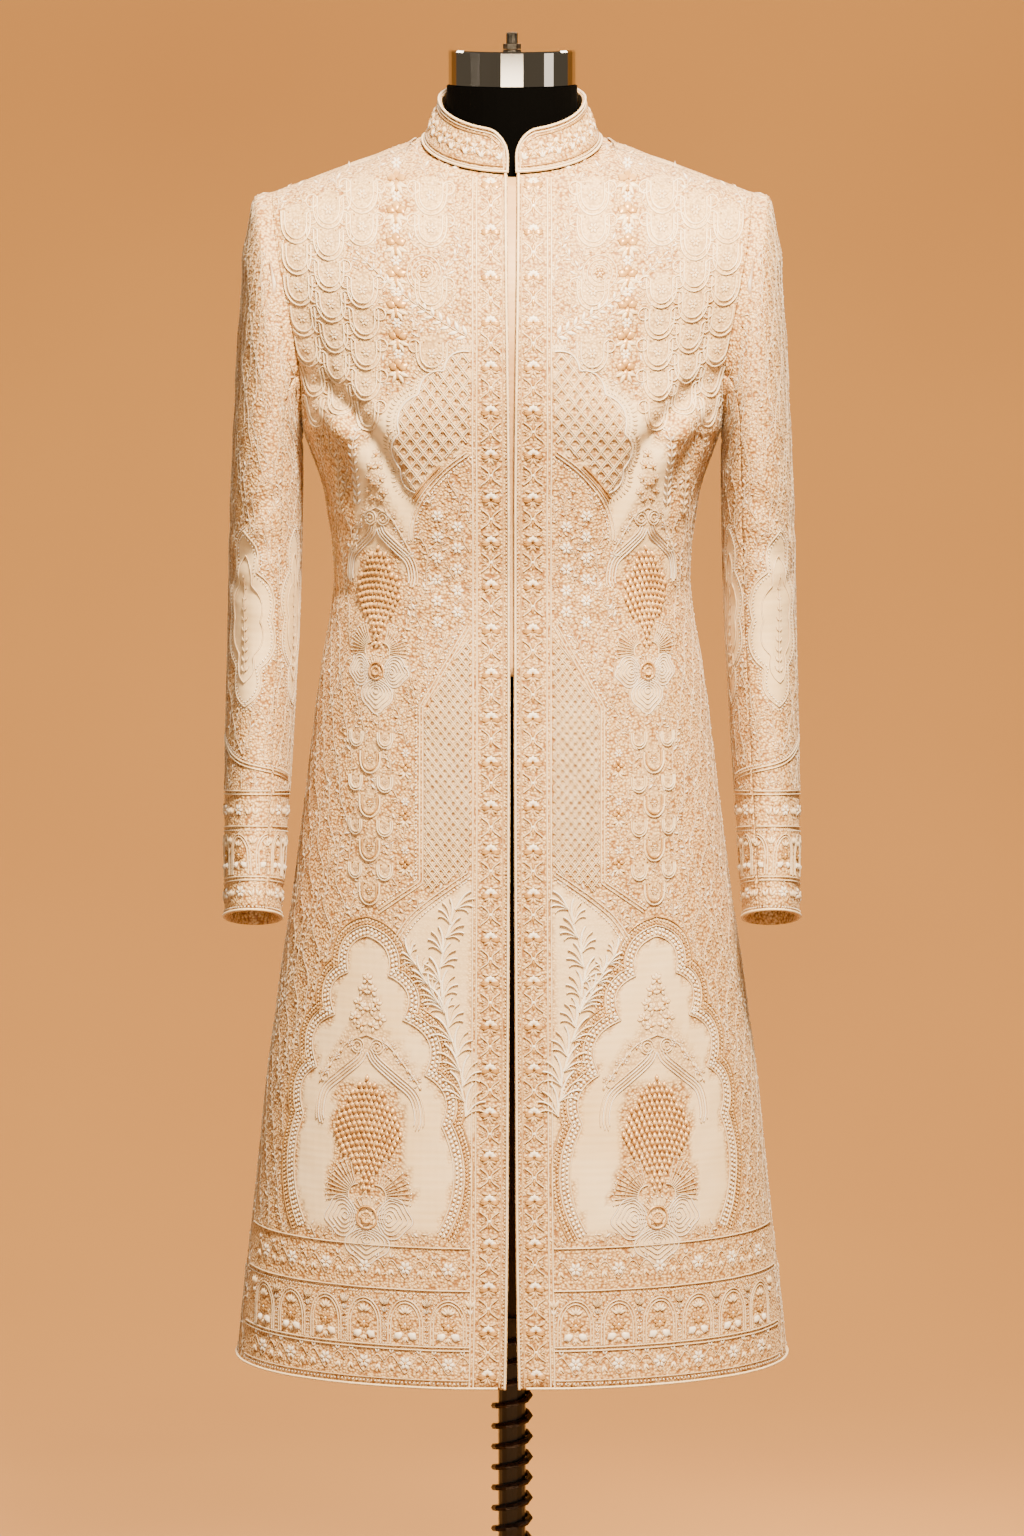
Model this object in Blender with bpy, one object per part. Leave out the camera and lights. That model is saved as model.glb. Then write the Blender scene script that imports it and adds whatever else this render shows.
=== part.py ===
"""Sherwani coat on a limbless dress form with a spring pole stand.

Frame: metres, +Z up.  The coat's front faces -Y and the wearer's left is +X.
The origin is on the floor, under the middle of the stand's base.
"""
import math

import bmesh
import bpy
import numpy as np

# ------------------------------------------------------------------ driving sizes
GAP = 0.0003                 # left between neighbouring pieces
CLOTH = 0.0020               # wall of the embroidered cloth
UNDERLAP_WALL = 0.0014
CORD_RADIUS = 0.0011         # piping cord
CORD_SIDES = 5
HEM_CORD_RISE = 0.0013       # its middle above the edge it is sewn on

ARMPIT_HEIGHT = 1.282
SHOULDER_HEIGHT = 1.493
ARMHOLE_HALF_DEPTH = 0.070   # front to back
NECK_HALF_WIDTH = 0.0787     # collar seam, in plan
NECK_FRONT = 0.070
NECK_BACK = 0.066
NECK_SIDE_HEIGHT = 1.5380
NECK_DROP = 0.0250           # from the side of the neck down to centre front
NECK_RISE = 0.0140           # from the side of the neck up to centre back
LAST_CENTRE_ROW = 24         # armhole angle where the rows leave centre front for the neckline

UNDERLAP_HALF_WIDTH = 0.0120
UNDERLAP_BOTTOM = 1.05
UNDERLAP_TOP = 1.52

COLLAR_LIFT = 0.0012
COLLAR_HEIGHT = 0.0370
COLLAR_TOP_RADIUS = 0.0640
COLLAR_CORNER = 0.0240       # rounding of its two front corners
COLLAR_ROWS = 3

NECK_RADIUS = 0.0587
NECK_TOP = 1.5880
CAP_RADIUS = 0.0570
CAP_TOP = 1.6200
NUT_RADIUS = 0.0080
NUT_HEIGHT = 0.0045
STUD_RADIUS = 0.0052
STUD_TOP = 1.6350

FORM_BOTTOM = 0.8750
PLATE_RADIUS = 0.0550
PLATE_THICKNESS = 0.0060
POLE_RADIUS = 0.0125
SPRING_RADIUS = 0.0162       # to the middle of the wire
SPRING_WIRE = 0.0030
SPRING_PITCH = 0.0190
SPRING_SIDES = 6
SPRING_STEPS = 10            # to one turn
SPRING_BOTTOM = 0.1300
SPRING_TOP = 0.4500
STOP_RADIUS = 0.0215
STOP_HEIGHT = 0.0160
BASE_RADIUS = 0.2000
BASE_EDGE = 0.0080
BASE_TOP = 0.0140
HUB_RADIUS = 0.0300
HUB_TOP = 0.0520

# Body of the coat, hem to armpit: half the width, and how far the front and the back stand out.
BODY_COLUMNS = ("height", "half_width", "front", "back", "squareness", "opening")
BODY_SECTIONS = (
    (0.4395, 0.2470, 0.1650, 0.1620, 2.20, 0.0050),
    (0.500, 0.2410, 0.1610, 0.1600, 2.20, 0.0040),
    (0.590, 0.2308, 0.1560, 0.1560, 2.20, 0.0030),
    (0.690, 0.2208, 0.1500, 0.1530, 2.20, 0.0026),
    (0.790, 0.2077, 0.1450, 0.1510, 2.20, 0.0022),
    (0.885, 0.1938, 0.1410, 0.1500, 2.25, 0.0018),
    (0.980, 0.1820, 0.1360, 0.1440, 2.30, 0.0015),
    (1.065, 0.1710, 0.1305, 0.1310, 2.35, 0.0014),
    (1.150, 0.1588, 0.1250, 0.1170, 2.40, 0.0014),
    (1.220, 0.1662, 0.1325, 0.1170, 2.40, 0.0014),
    (ARMPIT_HEIGHT, 0.1860, 0.1420, 0.1220, 2.45, 0.0018),
)

# Armpit to shoulder: where each row across the panel starts on the centre line.
YOKE_COLUMNS = ("armhole_angle", "front_height", "front_depth", "back_height", "back_depth", "opening")
YOKE_ROWS = (
    (180, ARMPIT_HEIGHT, 0.1420, ARMPIT_HEIGHT, 0.1220, 0.0018),
    (150, 1.322, 0.1455, 1.330, 0.1280, 0.0022),
    (120, 1.365, 0.1440, 1.382, 0.1290, 0.0028),
    (90, 1.410, 0.1340, 1.436, 0.1210, 0.0034),
    (58, 1.458, 0.1135, 1.490, 0.1010, 0.0038),
    (32, 1.497, 0.0860, 1.535, 0.0750, 0.0040),
    (LAST_CENTRE_ROW, NECK_SIDE_HEIGHT - NECK_DROP, NECK_FRONT,
     NECK_SIDE_HEIGHT + NECK_RISE, NECK_BACK, 0.0040),
)
YOKE_ANGLES = (165, 150, 135, 120, 105, 90, 74, 58, 44, 32, 24, 18, 12, 6, 0)

# Armhole seam, seen from the front: it leans out towards the shoulder.
ARMHOLE_COLUMNS = ("height", "half_width")
ARMHOLE_LINE = (
    (ARMPIT_HEIGHT, 0.1860),
    (1.335, 0.1880),
    (1.386, 0.1965),
    (1.450, 0.2085),
    (SHOULDER_HEIGHT, 0.2136),
)

# Stations across a panel, as angles: 0 is its centre line and 90 the side seam.
FRONT_STATIONS = (0, 1, 8, 17, 27, 37, 47, 57, 67, 76, 84, 90)
EDGE_CORD_STATION = 1
BACK_STATIONS = (90, 84, 76, 66, 54, 42, 30, 15, 0)

# Sleeve, armhole to cuff.  Inner is the side against the body, outer the side away from it.
# The columns are inner x and z, outer x and z, middle y, half the depth, and the share it takes
# of the armhole's bowed line.
SLEEVE_RINGS = (
    (0.1860, 1.2820, 0.2136, 1.4930, 0.000, ARMHOLE_HALF_DEPTH, 1.0),
    (0.1868, 1.2785, 0.2270, 1.4895, 0.000, 0.0745, 0.7),
    (0.1873, 1.2750, 0.2345, 1.4660, 0.000, 0.0775, 0.4),
    (0.1876, 1.2715, 0.2395, 1.4217, 0.000, 0.0790, 0.2),
    (0.1876, 1.2670, 0.2440, 1.3580, 0.001, 0.0795, 0.0),
    (0.1876, 1.2450, 0.2490, 1.2700, 0.002, 0.0785, 0.0),
    (0.1888, 1.1750, 0.2525, 1.1850, 0.004, 0.0750, 0.0),
    (0.1915, 1.1000, 0.2545, 1.1020, 0.002, 0.0705, 0.0),
    (0.1960, 1.0200, 0.2562, 1.0200, -0.008, 0.0655, 0.0),
    (0.2010, 0.9350, 0.2577, 0.9350, -0.026, 0.0600, 0.0),
    (0.2070, 0.8460, 0.2568, 0.8460, -0.050, 0.0545, 0.0),
)
SLEEVE_SEAM_ANGLE = 120      # upper sleeve reaches this far round from its outer line
SLEEVE_TILT_FROM = 7         # rings from here on lean with the forward bend of the arm

# Dress form, hip to neck, clear of the cloth.
# The columns are height, half the width, front, back and squareness.
FORM_SECTIONS = (
    (FORM_BOTTOM, 0.1560, 0.1100, 0.1130, 2.1),
    (0.890, 0.1660, 0.1190, 0.1230, 2.2),
    (0.980, 0.1630, 0.1200, 0.1260, 2.2),
    (1.065, 0.1530, 0.1160, 0.1160, 2.2),
    (1.150, 0.1445, 0.1110, 0.1040, 2.3),
    (1.220, 0.1540, 0.1180, 0.1040, 2.3),
    (1.290, 0.1690, 0.1290, 0.1090, 2.3),
    (1.350, 0.1740, 0.1310, 0.1150, 2.3),
    (1.400, 0.1770, 0.1230, 0.1140, 2.2),
    (1.440, 0.1790, 0.1060, 0.1060, 2.0),
    (1.470, 0.1720, 0.0860, 0.0940, 1.9),
    (1.490, 0.1450, 0.0700, 0.0840, 1.8),
    (1.506, 0.1090, 0.0610, 0.0750, 1.8),
    (1.522, 0.0770, 0.0590, 0.0660, 2.0),
    (1.540, 0.0630, 0.0587, 0.0600, 2.0),
    (1.558, NECK_RADIUS, NECK_RADIUS, NECK_RADIUS, 2.0),
    (NECK_TOP, NECK_RADIUS - 0.0006, NECK_RADIUS - 0.0006, NECK_RADIUS - 0.0006, 2.0),
)
FORM_SEGMENTS = 28


# ------------------------------------------------------------------ materials
def plain_material(name, colour, roughness, metallic=0.0):
    """One Principled BSDF material."""
    material = bpy.data.materials.new(name)
    material.use_nodes = True
    shader = material.node_tree.nodes["Principled BSDF"]
    shader.inputs["Base Color"].default_value = (*colour, 1.0)
    shader.inputs["Roughness"].default_value = roughness
    shader.inputs["Metallic"].default_value = metallic
    material.diffuse_color = (*colour, 1.0)
    return material


CLOTH_COLOUR = (0.80, 0.65, 0.45)
TRIM_COLOUR = (0.84, 0.70, 0.50)
BLACK = (0.010, 0.009, 0.008)
CHROME = (0.62, 0.60, 0.58)
STEEL = (0.050, 0.035, 0.030)


# ------------------------------------------------------------------ mesh helpers
def add_object(name, mesh, colour, roughness=0.8, metallic=0.0):
    """Link a mesh as a named object with its own material."""
    mesh.materials.append(plain_material(name + "_finish", colour, roughness, metallic))
    item = bpy.data.objects.new(name, mesh)
    bpy.context.scene.collection.objects.link(item)
    return item


def finish_mesh(name, bm, smooth_angle=40.0):
    """Triangulate, face outwards and shade round surfaces smooth."""
    bmesh.ops.triangulate(bm, faces=bm.faces[:])
    bmesh.ops.recalc_face_normals(bm, faces=bm.faces[:])
    mesh = bpy.data.meshes.new(name)
    bm.to_mesh(mesh)
    bm.free()
    mesh.shade_smooth()
    mesh.set_sharp_from_angle(angle=math.radians(smooth_angle))
    return mesh


def wall_mesh(name, outer, normals, thickness):
    """Closed cloth wall: a grid of outer points and the same grid moved in."""
    rows, columns = outer.shape[:2]
    inner = outer - normals * thickness
    bm = bmesh.new()
    out = [[bm.verts.new(outer[r, c]) for c in range(columns)] for r in range(rows)]
    back = [[bm.verts.new(inner[r, c]) for c in range(columns)] for r in range(rows)]
    for r in range(rows - 1):
        for c in range(columns - 1):
            bm.faces.new((out[r][c], out[r][c + 1], out[r + 1][c + 1], out[r + 1][c]))
            bm.faces.new((back[r][c], back[r + 1][c], back[r + 1][c + 1], back[r][c + 1]))
    border = [(0, c) for c in range(columns)]
    border += [(r, columns - 1) for r in range(1, rows)]
    border += [(rows - 1, c) for c in range(columns - 2, -1, -1)]
    border += [(r, 0) for r in range(rows - 2, 0, -1)]
    for (r0, c0), (r1, c1) in zip(border, border[1:] + border[:1]):
        bm.faces.new((out[r0][c0], back[r0][c0], back[r1][c1], out[r1][c1]))
    return finish_mesh(name, bm)


def stacked_rings(name, rings):
    """Closed body through a stack of rings with the same number of points."""
    bm = bmesh.new()
    loops = [[bm.verts.new(point) for point in ring] for ring in rings]
    count = len(loops[0])
    for low, high in zip(loops, loops[1:]):
        for i in range(count):
            j = (i + 1) % count
            bm.faces.new((low[i], low[j], high[j], high[i]))
    bm.faces.new(loops[0][::-1])
    bm.faces.new(loops[-1])
    return finish_mesh(name, bm)


def turned_mesh(name, profile, segments):
    """Closed turned body: (radius, height) pairs from the bottom up."""
    angles = [math.tau * i / segments for i in range(segments)]
    rings = [[(r * math.cos(a), r * math.sin(a), z) for a in angles] for r, z in profile]
    return stacked_rings(name, rings)


def unit(vectors):
    """Vectors scaled to length one along the last axis."""
    return vectors / np.maximum(np.linalg.norm(vectors, axis=-1, keepdims=True), 1e-12)


def grid_normals(points):
    """Outward normals of a grid whose columns cross its rows anticlockwise from outside."""
    across = np.gradient(points, axis=1)
    along = np.gradient(points, axis=0)
    return unit(np.cross(across, along))


def cord_mesh(name, path, radius, sides, up, closed=False):
    """Tube along a path, its section turned to a given set of upward vectors."""
    path = np.asarray(path, dtype=float)
    if closed:
        ahead = np.roll(path, -1, axis=0) - np.roll(path, 1, axis=0)
    else:
        ahead = np.gradient(path, axis=0)
    ahead = unit(ahead)
    side = unit(np.cross(ahead, np.asarray(up)))
    lift = np.cross(side, ahead)
    rings = []
    for k in range(len(path)):
        ring = []
        for i in range(sides):
            angle = math.tau * i / sides
            ring.append(path[k] + radius * (math.cos(angle) * side[k] + math.sin(angle) * lift[k]))
        rings.append(ring)
    if not closed:
        return stacked_rings(name, rings)
    bm = bmesh.new()
    loops = [[bm.verts.new(point) for point in ring] for ring in rings]
    for low, high in zip(loops, loops[1:] + loops[:1]):
        for i in range(sides):
            j = (i + 1) % sides
            bm.faces.new((low[i], low[j], high[j], high[i]))
    return finish_mesh(name, bm)


def mirrored(points):
    """The same points on the wearer's other side, still facing out."""
    return points[:, ::-1] * np.array((-1.0, 1.0, 1.0))


def column(table, names, name):
    """One named column of a table, as an array."""
    place = names.index(name)
    return np.array([row[place] for row in table], dtype=float)


def read_table(table, names, key, value, name):
    """Read a column between its rows; the key column may rise or fall."""
    keys = column(table, names, key)
    values = column(table, names, name)
    order = np.argsort(keys)
    return float(np.interp(value, keys[order], values[order]))


# ------------------------------------------------------------------ coat body
CENTRE_ROWS = len(BODY_SECTIONS) + sum(1 for angle in YOKE_ANGLES if angle >= LAST_CENTRE_ROW)


def armhole_point(angle, side):
    """Point on the armhole seam; 0 is the shoulder, 180 the armpit, side -1 front, +1 back."""
    turn = math.radians(angle)
    middle = (SHOULDER_HEIGHT + ARMPIT_HEIGHT) / 2
    half = (SHOULDER_HEIGHT - ARMPIT_HEIGHT) / 2
    height = middle + half * math.cos(turn)
    width = read_table(ARMHOLE_LINE, ARMHOLE_COLUMNS, "height", height, "half_width")
    return np.array((width, side * ARMHOLE_HALF_DEPTH * math.sin(turn), height))


def neckline_point(angle):
    """Point on the collar seam; 0 is centre front, 90 the shoulder, 180 centre back."""
    turn = math.radians(angle)
    is_front = angle <= 90
    depth = NECK_FRONT if is_front else NECK_BACK
    drop = (NECK_DROP if is_front else NECK_RISE) * math.cos(turn)
    return np.array((NECK_HALF_WIDTH * math.sin(turn), -depth * math.cos(turn), NECK_SIDE_HEIGHT - drop))


def panel_row(start, end, stations, squareness, roundness):
    """Row of points from the centre line to the side, as a rounded-box quarter."""
    row = []
    for station in stations:
        across = math.sin(math.radians(station))
        depth = max(1.0 - across ** squareness, 0.0) ** roundness
        x = start[0] + (end[0] - start[0]) * across
        y = end[1] + (start[1] - end[1]) * depth
        z = start[2] + (end[2] - start[2]) * across
        row.append((x, y, z))
    return row


def body_rows(side, stations):
    """All rows of a front (side -1) or of the back (side +1), hem to shoulder seam."""
    name = "front" if side < 0 else "back"
    is_front = side < 0
    seam = side * GAP / 2
    rows = []
    for height, half_width, front, back, squareness, opening in BODY_SECTIONS:
        depth = front if is_front else back
        start = (opening if is_front else 0.0, side * depth, height)
        end = (half_width, seam, height)
        rows.append(panel_row(start, end, stations, squareness, 1.0 / squareness))
    squareness = BODY_SECTIONS[-1][BODY_COLUMNS.index("squareness")]
    for angle in YOKE_ANGLES:
        end = armhole_point(angle, side)
        end[1] += seam
        if angle >= LAST_CENTRE_ROW:
            height = read_table(YOKE_ROWS, YOKE_COLUMNS, "armhole_angle", angle, name + "_height")
            depth = read_table(YOKE_ROWS, YOKE_COLUMNS, "armhole_angle", angle, name + "_depth")
            opening = read_table(YOKE_ROWS, YOKE_COLUMNS, "armhole_angle", angle, "opening")
            start = (opening if is_front else 0.0, side * depth, height)
        else:
            share = 1.0 - angle / LAST_CENTRE_ROW
            start = neckline_point(90 * share if is_front else 180 - 90 * share)
            start[1] += seam * share
            opening = YOKE_ROWS[-1][YOKE_COLUMNS.index("opening")]
            start[0] = max(start[0], opening if is_front else 0.0)
        turn = min((180 - angle) / 90, 1.0)
        ease = turn * turn * (3 - 2 * turn)
        roundness = 1.0 / squareness + (1.0 - 1.0 / squareness) * ease
        rows.append(panel_row(start, end, stations, squareness - 0.45 * ease, roundness))
    return np.array(rows)


def join_seam(normals_a, normals_b, index_a, index_b):
    """Give two neighbouring grids the same normals along the seam they share."""
    mean = unit(normals_a[index_a] + normals_b[index_b])
    normals_a[index_a] = mean
    normals_b[index_b] = mean


def back_mesh(left, normals):
    """Closed wall of the back, cut out for the neck above the last centre row."""
    right = mirrored(left)
    right_normals = mirrored(normals)
    outer = np.concatenate((left, right[:, 1:]), axis=1)
    facing = np.concatenate((normals, right_normals[:, 1:]), axis=1)
    inner = outer - facing * CLOTH
    rows, columns = outer.shape[:2]
    middle = left.shape[1] - 1
    right_top = right[:, 0]
    right_top_normals = right_normals[:, 0]
    bm = bmesh.new()
    out = [[bm.verts.new(outer[r, c]) for c in range(columns)] for r in range(rows)]
    back = [[bm.verts.new(inner[r, c]) for c in range(columns)] for r in range(rows)]
    out_right = {}
    back_right = {}
    for r in range(CENTRE_ROWS, rows):
        out_right[r] = bm.verts.new(right_top[r])
        back_right[r] = bm.verts.new(right_top[r] - right_top_normals[r] * CLOTH)

    def pick(grid, spare, r, c, right_half):
        if right_half and c == middle and r in spare:
            return spare[r]
        return grid[r][c]

    for r in range(rows - 1):
        for c in range(columns - 1):
            half = c >= middle
            corners = ((r, c), (r, c + 1), (r + 1, c + 1), (r + 1, c))
            bm.faces.new([pick(out, out_right, a, b, half) for a, b in corners])
            bm.faces.new([pick(back, back_right, a, b, half) for a, b in corners[::-1]])
    bmesh.ops.recalc_face_normals(bm, faces=bm.faces[:])
    open_edges = [edge for edge in bm.edges if len(edge.link_faces) == 1]
    partner = {}
    for r in range(rows):
        for c in range(columns):
            partner[out[r][c]] = back[r][c]
    for r in out_right:
        partner[out_right[r]] = back_right[r]
    for edge in open_edges:
        first, second = edge.verts
        if first in partner and second in partner:
            bm.faces.new((first, second, partner[second], partner[first]))
    return finish_mesh("back", bm)


# ------------------------------------------------------------------ sleeves
def sleeve_angles():
    """Stations all round a sleeve, the same as the rows that meet its armhole; front is positive."""
    front = sorted(set(YOKE_ANGLES) | {180})
    return front + [-angle for angle in reversed(front[1:-1])]


def sleeve_ring(index, angles):
    """Points round one ring of the wearer's left sleeve; positive angles are in front."""
    inner_x, inner_z, outer_x, outer_z, middle_y, half_depth, share = SLEEVE_RINGS[index]
    middle = np.array(((inner_x + outer_x) / 2, middle_y, (inner_z + outer_z) / 2))
    reach = np.array(((outer_x - inner_x) / 2, 0.0, (outer_z - inner_z) / 2))
    forward = np.array((0.0, -half_depth, 0.0))
    if index >= SLEEVE_TILT_FROM:
        above = SLEEVE_RINGS[index - 1]
        above_z, above_y = above[1], above[4]
        lean = (above_y - middle_y) / (above_z - inner_z)
        forward = np.array((0.0, -half_depth, half_depth * lean))
    ring = []
    for angle in angles:
        turn = math.radians(angle)
        point = middle + reach * math.cos(turn) + forward * math.sin(turn)
        seam = armhole_point(abs(angle), -1)
        low_x, low_z, high_x, high_z = SLEEVE_RINGS[0][:4]
        straight_x = low_x + (high_x - low_x) * (seam[2] - low_z) / (high_z - low_z)
        point[0] += (seam[0] - straight_x) * share + GAP
        ring.append(point)
    return ring


def sleeve_rings():
    """Outer points of the wearer's left sleeve all round, and their normals."""
    angles = sleeve_angles()
    rings = np.array([sleeve_ring(i, angles) for i in range(len(SLEEVE_RINGS))])
    around = np.roll(rings, -1, axis=1) - np.roll(rings, 1, axis=1)
    return rings, unit(np.cross(around, np.gradient(rings, axis=0)))


def sleeve_grids():
    """Outer points and normals of the upper and the under sleeve, parted at their two seams."""
    angles = sleeve_angles()
    rings, normals = sleeve_rings()
    pieces = {}
    for piece in ("upper", "under"):
        if piece == "upper":
            chosen = [a for a in angles if abs(a) <= SLEEVE_SEAM_ANGLE]
            chosen.sort()
        else:
            chosen = [a for a in angles if abs(a) >= SLEEVE_SEAM_ANGLE]
            chosen.sort(key=lambda a: a % 360)
        picked = [angles.index(a) for a in chosen]
        grid = rings[:, picked].copy()
        grid[:, 0] += unit(grid[:, 1] - grid[:, 0]) * GAP * 0.6
        grid[:, -1] += unit(grid[:, -2] - grid[:, -1]) * GAP * 0.6
        pieces[piece] = (grid, normals[:, picked])
    return pieces


# ------------------------------------------------------------------ collar
def collar_angles():
    """Stations round the collar, closer together at its front corners."""
    front = [3, 5, 8, 12, 17, 23]
    rest = list(np.linspace(33, 180, 11))
    half = front + rest
    return half + [360 - angle for angle in reversed(half[:-1])]


def collar_point(angle, share):
    """Outer point of the collar at a share of its height; angle 0 is centre front."""
    side = 1 if angle <= 180 else -1
    half_angle = angle if angle <= 180 else 360 - angle
    base = neckline_point(half_angle)
    turn = math.radians(half_angle)
    top = np.array((COLLAR_TOP_RADIUS * math.sin(turn), -COLLAR_TOP_RADIUS * math.cos(turn), 0.0))
    distance = NECK_HALF_WIDTH * (turn - math.radians(collar_angles()[0]))
    height = COLLAR_HEIGHT
    if distance < COLLAR_CORNER:
        back_off = COLLAR_CORNER - distance
        height -= COLLAR_CORNER - math.sqrt(COLLAR_CORNER ** 2 - back_off ** 2)
    rise = share * height / COLLAR_HEIGHT
    x = base[0] + (top[0] - base[0]) * rise
    y = base[1] + (top[1] - base[1]) * rise
    z = base[2] + COLLAR_LIFT + height * share
    return np.array((side * x, y, z))


def collar_grid():
    """Rows up the collar, columns from its right front edge round the back to its left one."""
    shares = np.linspace(0.0, 1.0, COLLAR_ROWS)
    return np.array([[collar_point(angle, share) for angle in collar_angles()] for share in shares])


# ------------------------------------------------------------------ coat pieces
def add_pair(name, grid, normals):
    """A wall on the wearer's left and its mirror image on the right."""
    left_name = name.replace("SIDE", "left")
    right_name = name.replace("SIDE", "right")
    add_object(left_name, wall_mesh(left_name, grid, normals, CLOTH), CLOTH_COLOUR)
    right = wall_mesh(right_name, mirrored(grid), mirrored(normals), CLOTH)
    add_object(right_name, right, CLOTH_COLOUR)


def add_cord(name, path, normals, closed=False):
    """Piping laid on a panel: the panel's own points, moved out."""
    raised = np.asarray(path) + np.asarray(normals) * (CORD_RADIUS * 1.2 + GAP)
    mesh = cord_mesh(name, raised, CORD_RADIUS, CORD_SIDES, normals, closed)
    add_object(name, mesh, TRIM_COLOUR)


def build_collar_piping(collar, normals):
    """One cord round the collar's free edge and one along its seam."""
    front_edge = collar[:, 0]
    path = np.concatenate((front_edge, collar[-1, 1:-1], collar[::-1, -1]))
    facing = np.concatenate((normals[:, 0], normals[-1, 1:-1], normals[::-1, -1]))
    add_cord("piping_collar", path, facing)
    seam = collar[0, 1:-1] + np.array((0.0, 0.0, HEM_CORD_RISE))
    add_cord("piping_neck", seam, normals[0, 1:-1])


def build_body_piping(front, front_normals, back, back_normals):
    """Cords down the front edges and along the hem."""
    rise = np.array((0.0, 0.0, HEM_CORD_RISE))
    edge = front[:CENTRE_ROWS, EDGE_CORD_STATION].copy()
    edge[-1] = edge[-2] + (edge[-1] - edge[-2]) * 0.7
    hem = front[0, EDGE_CORD_STATION:].copy()
    hem[0] += unit(hem[1] - hem[0]) * 3 * CORD_RADIUS
    cords = (
        ("piping_edge_", edge, front_normals[:CENTRE_ROWS, EDGE_CORD_STATION]),
        ("piping_hem_", hem + rise, front_normals[0, EDGE_CORD_STATION:]),
    )
    for name, path, normals in cords:
        add_cord(name + "left", path, normals)
        add_cord(name + "right", mirrored(path[:, None])[:, 0], mirrored(normals[:, None])[:, 0])
    back_hem = np.concatenate((back[0], mirrored(back)[0, 1:]))
    back_facing = np.concatenate((back_normals[0], mirrored(back_normals)[0, 1:]))
    add_cord("piping_hem_back", back_hem + rise, back_facing)


def build_cuff_piping():
    """A closed cord round each cuff."""
    rings, normals = sleeve_rings()
    cuff = rings[-1] + unit(rings[-2] - rings[-1]) * HEM_CORD_RISE
    facing = normals[-1]
    add_cord("piping_cuff_left", cuff, facing, closed=True)
    flip = np.array((-1.0, 1.0, 1.0))
    add_cord("piping_cuff_right", cuff[::-1] * flip, facing[::-1] * flip, closed=True)


def build_underlap(front, normals):
    """Strip behind the front opening, on the inside of both edges."""
    rows = [r for r in range(CENTRE_ROWS) if UNDERLAP_BOTTOM < front[r, 0, 2] < UNDERLAP_TOP]
    facing = normals[rows, 0] * np.array((0.0, 1.0, 1.0))
    middle = front[rows, 0] * np.array((0.0, 1.0, 1.0)) - unit(facing) * (CLOTH + 3 * GAP)
    offsets = np.linspace(-UNDERLAP_HALF_WIDTH, UNDERLAP_HALF_WIDTH, 3)
    grid = np.stack([middle + np.array((offset, abs(offset) * 0.10, 0.0)) for offset in offsets], axis=1)
    wall = wall_mesh("underlap", grid, grid_normals(grid), UNDERLAP_WALL)
    add_object("underlap", wall, TRIM_COLOUR)


def build_coat():
    """Fronts, back, sleeves, collar and underlap, with the cords sewn on their edges."""
    front = body_rows(-1, FRONT_STATIONS)
    back = body_rows(1, BACK_STATIONS)
    front_normals = grid_normals(front)
    back_normals = grid_normals(back)
    below_armhole = slice(0, len(BODY_SECTIONS))
    join_seam(front_normals, back_normals, (below_armhole, -1), (below_armhole, 0))
    shoulder = unit(front_normals[-1].mean(axis=0) + back_normals[-1].mean(axis=0))
    front_normals[-1] = shoulder
    back_normals[-1] = shoulder
    back_normals[:CENTRE_ROWS, -1, 0] = 0.0
    back_normals = unit(back_normals)

    add_pair("front_SIDE", front, front_normals)
    add_object("back", back_mesh(back, back_normals), CLOTH_COLOUR)
    for piece, (grid, normals) in sleeve_grids().items():
        add_pair("sleeve_SIDE_" + piece, grid, normals)
    collar = collar_grid()
    collar_normals = grid_normals(collar)
    add_object("collar", wall_mesh("collar", collar, collar_normals, CLOTH), CLOTH_COLOUR)
    build_underlap(front, front_normals)

    build_collar_piping(collar, collar_normals)
    build_body_piping(front, front_normals, back, back_normals)
    build_cuff_piping()


# ------------------------------------------------------------------ form and stand
def build_form():
    """Dress form with its neck cap and finial."""
    rings = []
    for height, half_width, front, back, squareness in FORM_SECTIONS:
        ring = []
        for i in range(FORM_SEGMENTS):
            turn = math.tau * i / FORM_SEGMENTS
            across = math.copysign(abs(math.cos(turn)) ** (2 / squareness), math.cos(turn))
            along = math.copysign(abs(math.sin(turn)) ** (2 / squareness), math.sin(turn))
            depth = back if along > 0 else front
            ring.append((half_width * across, depth * along, height))
        rings.append(ring)
    add_object("form_torso", stacked_rings("form_torso", rings), BLACK, 0.7)

    cap_bottom = NECK_TOP + GAP
    cap = ((CAP_RADIUS - 0.0008, cap_bottom), (CAP_RADIUS, cap_bottom + 0.0010),
           (CAP_RADIUS, CAP_TOP - 0.0015), (CAP_RADIUS - 0.0015, CAP_TOP))
    add_object("neck_cap", turned_mesh("neck_cap", cap, 36), CHROME, 0.15, 1.0)
    nut_bottom = CAP_TOP + GAP
    nut = ((NUT_RADIUS, nut_bottom), (NUT_RADIUS, nut_bottom + NUT_HEIGHT))
    add_object("finial_nut", turned_mesh("finial_nut", nut, 6), BLACK, 0.4)
    stud_bottom = nut_bottom + NUT_HEIGHT + GAP
    stud = ((STUD_RADIUS, stud_bottom), (STUD_RADIUS, STUD_TOP - 0.001), (STUD_RADIUS - 0.001, STUD_TOP))
    add_object("finial_stud", turned_mesh("finial_stud", stud, 12), BLACK, 0.4)


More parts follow.
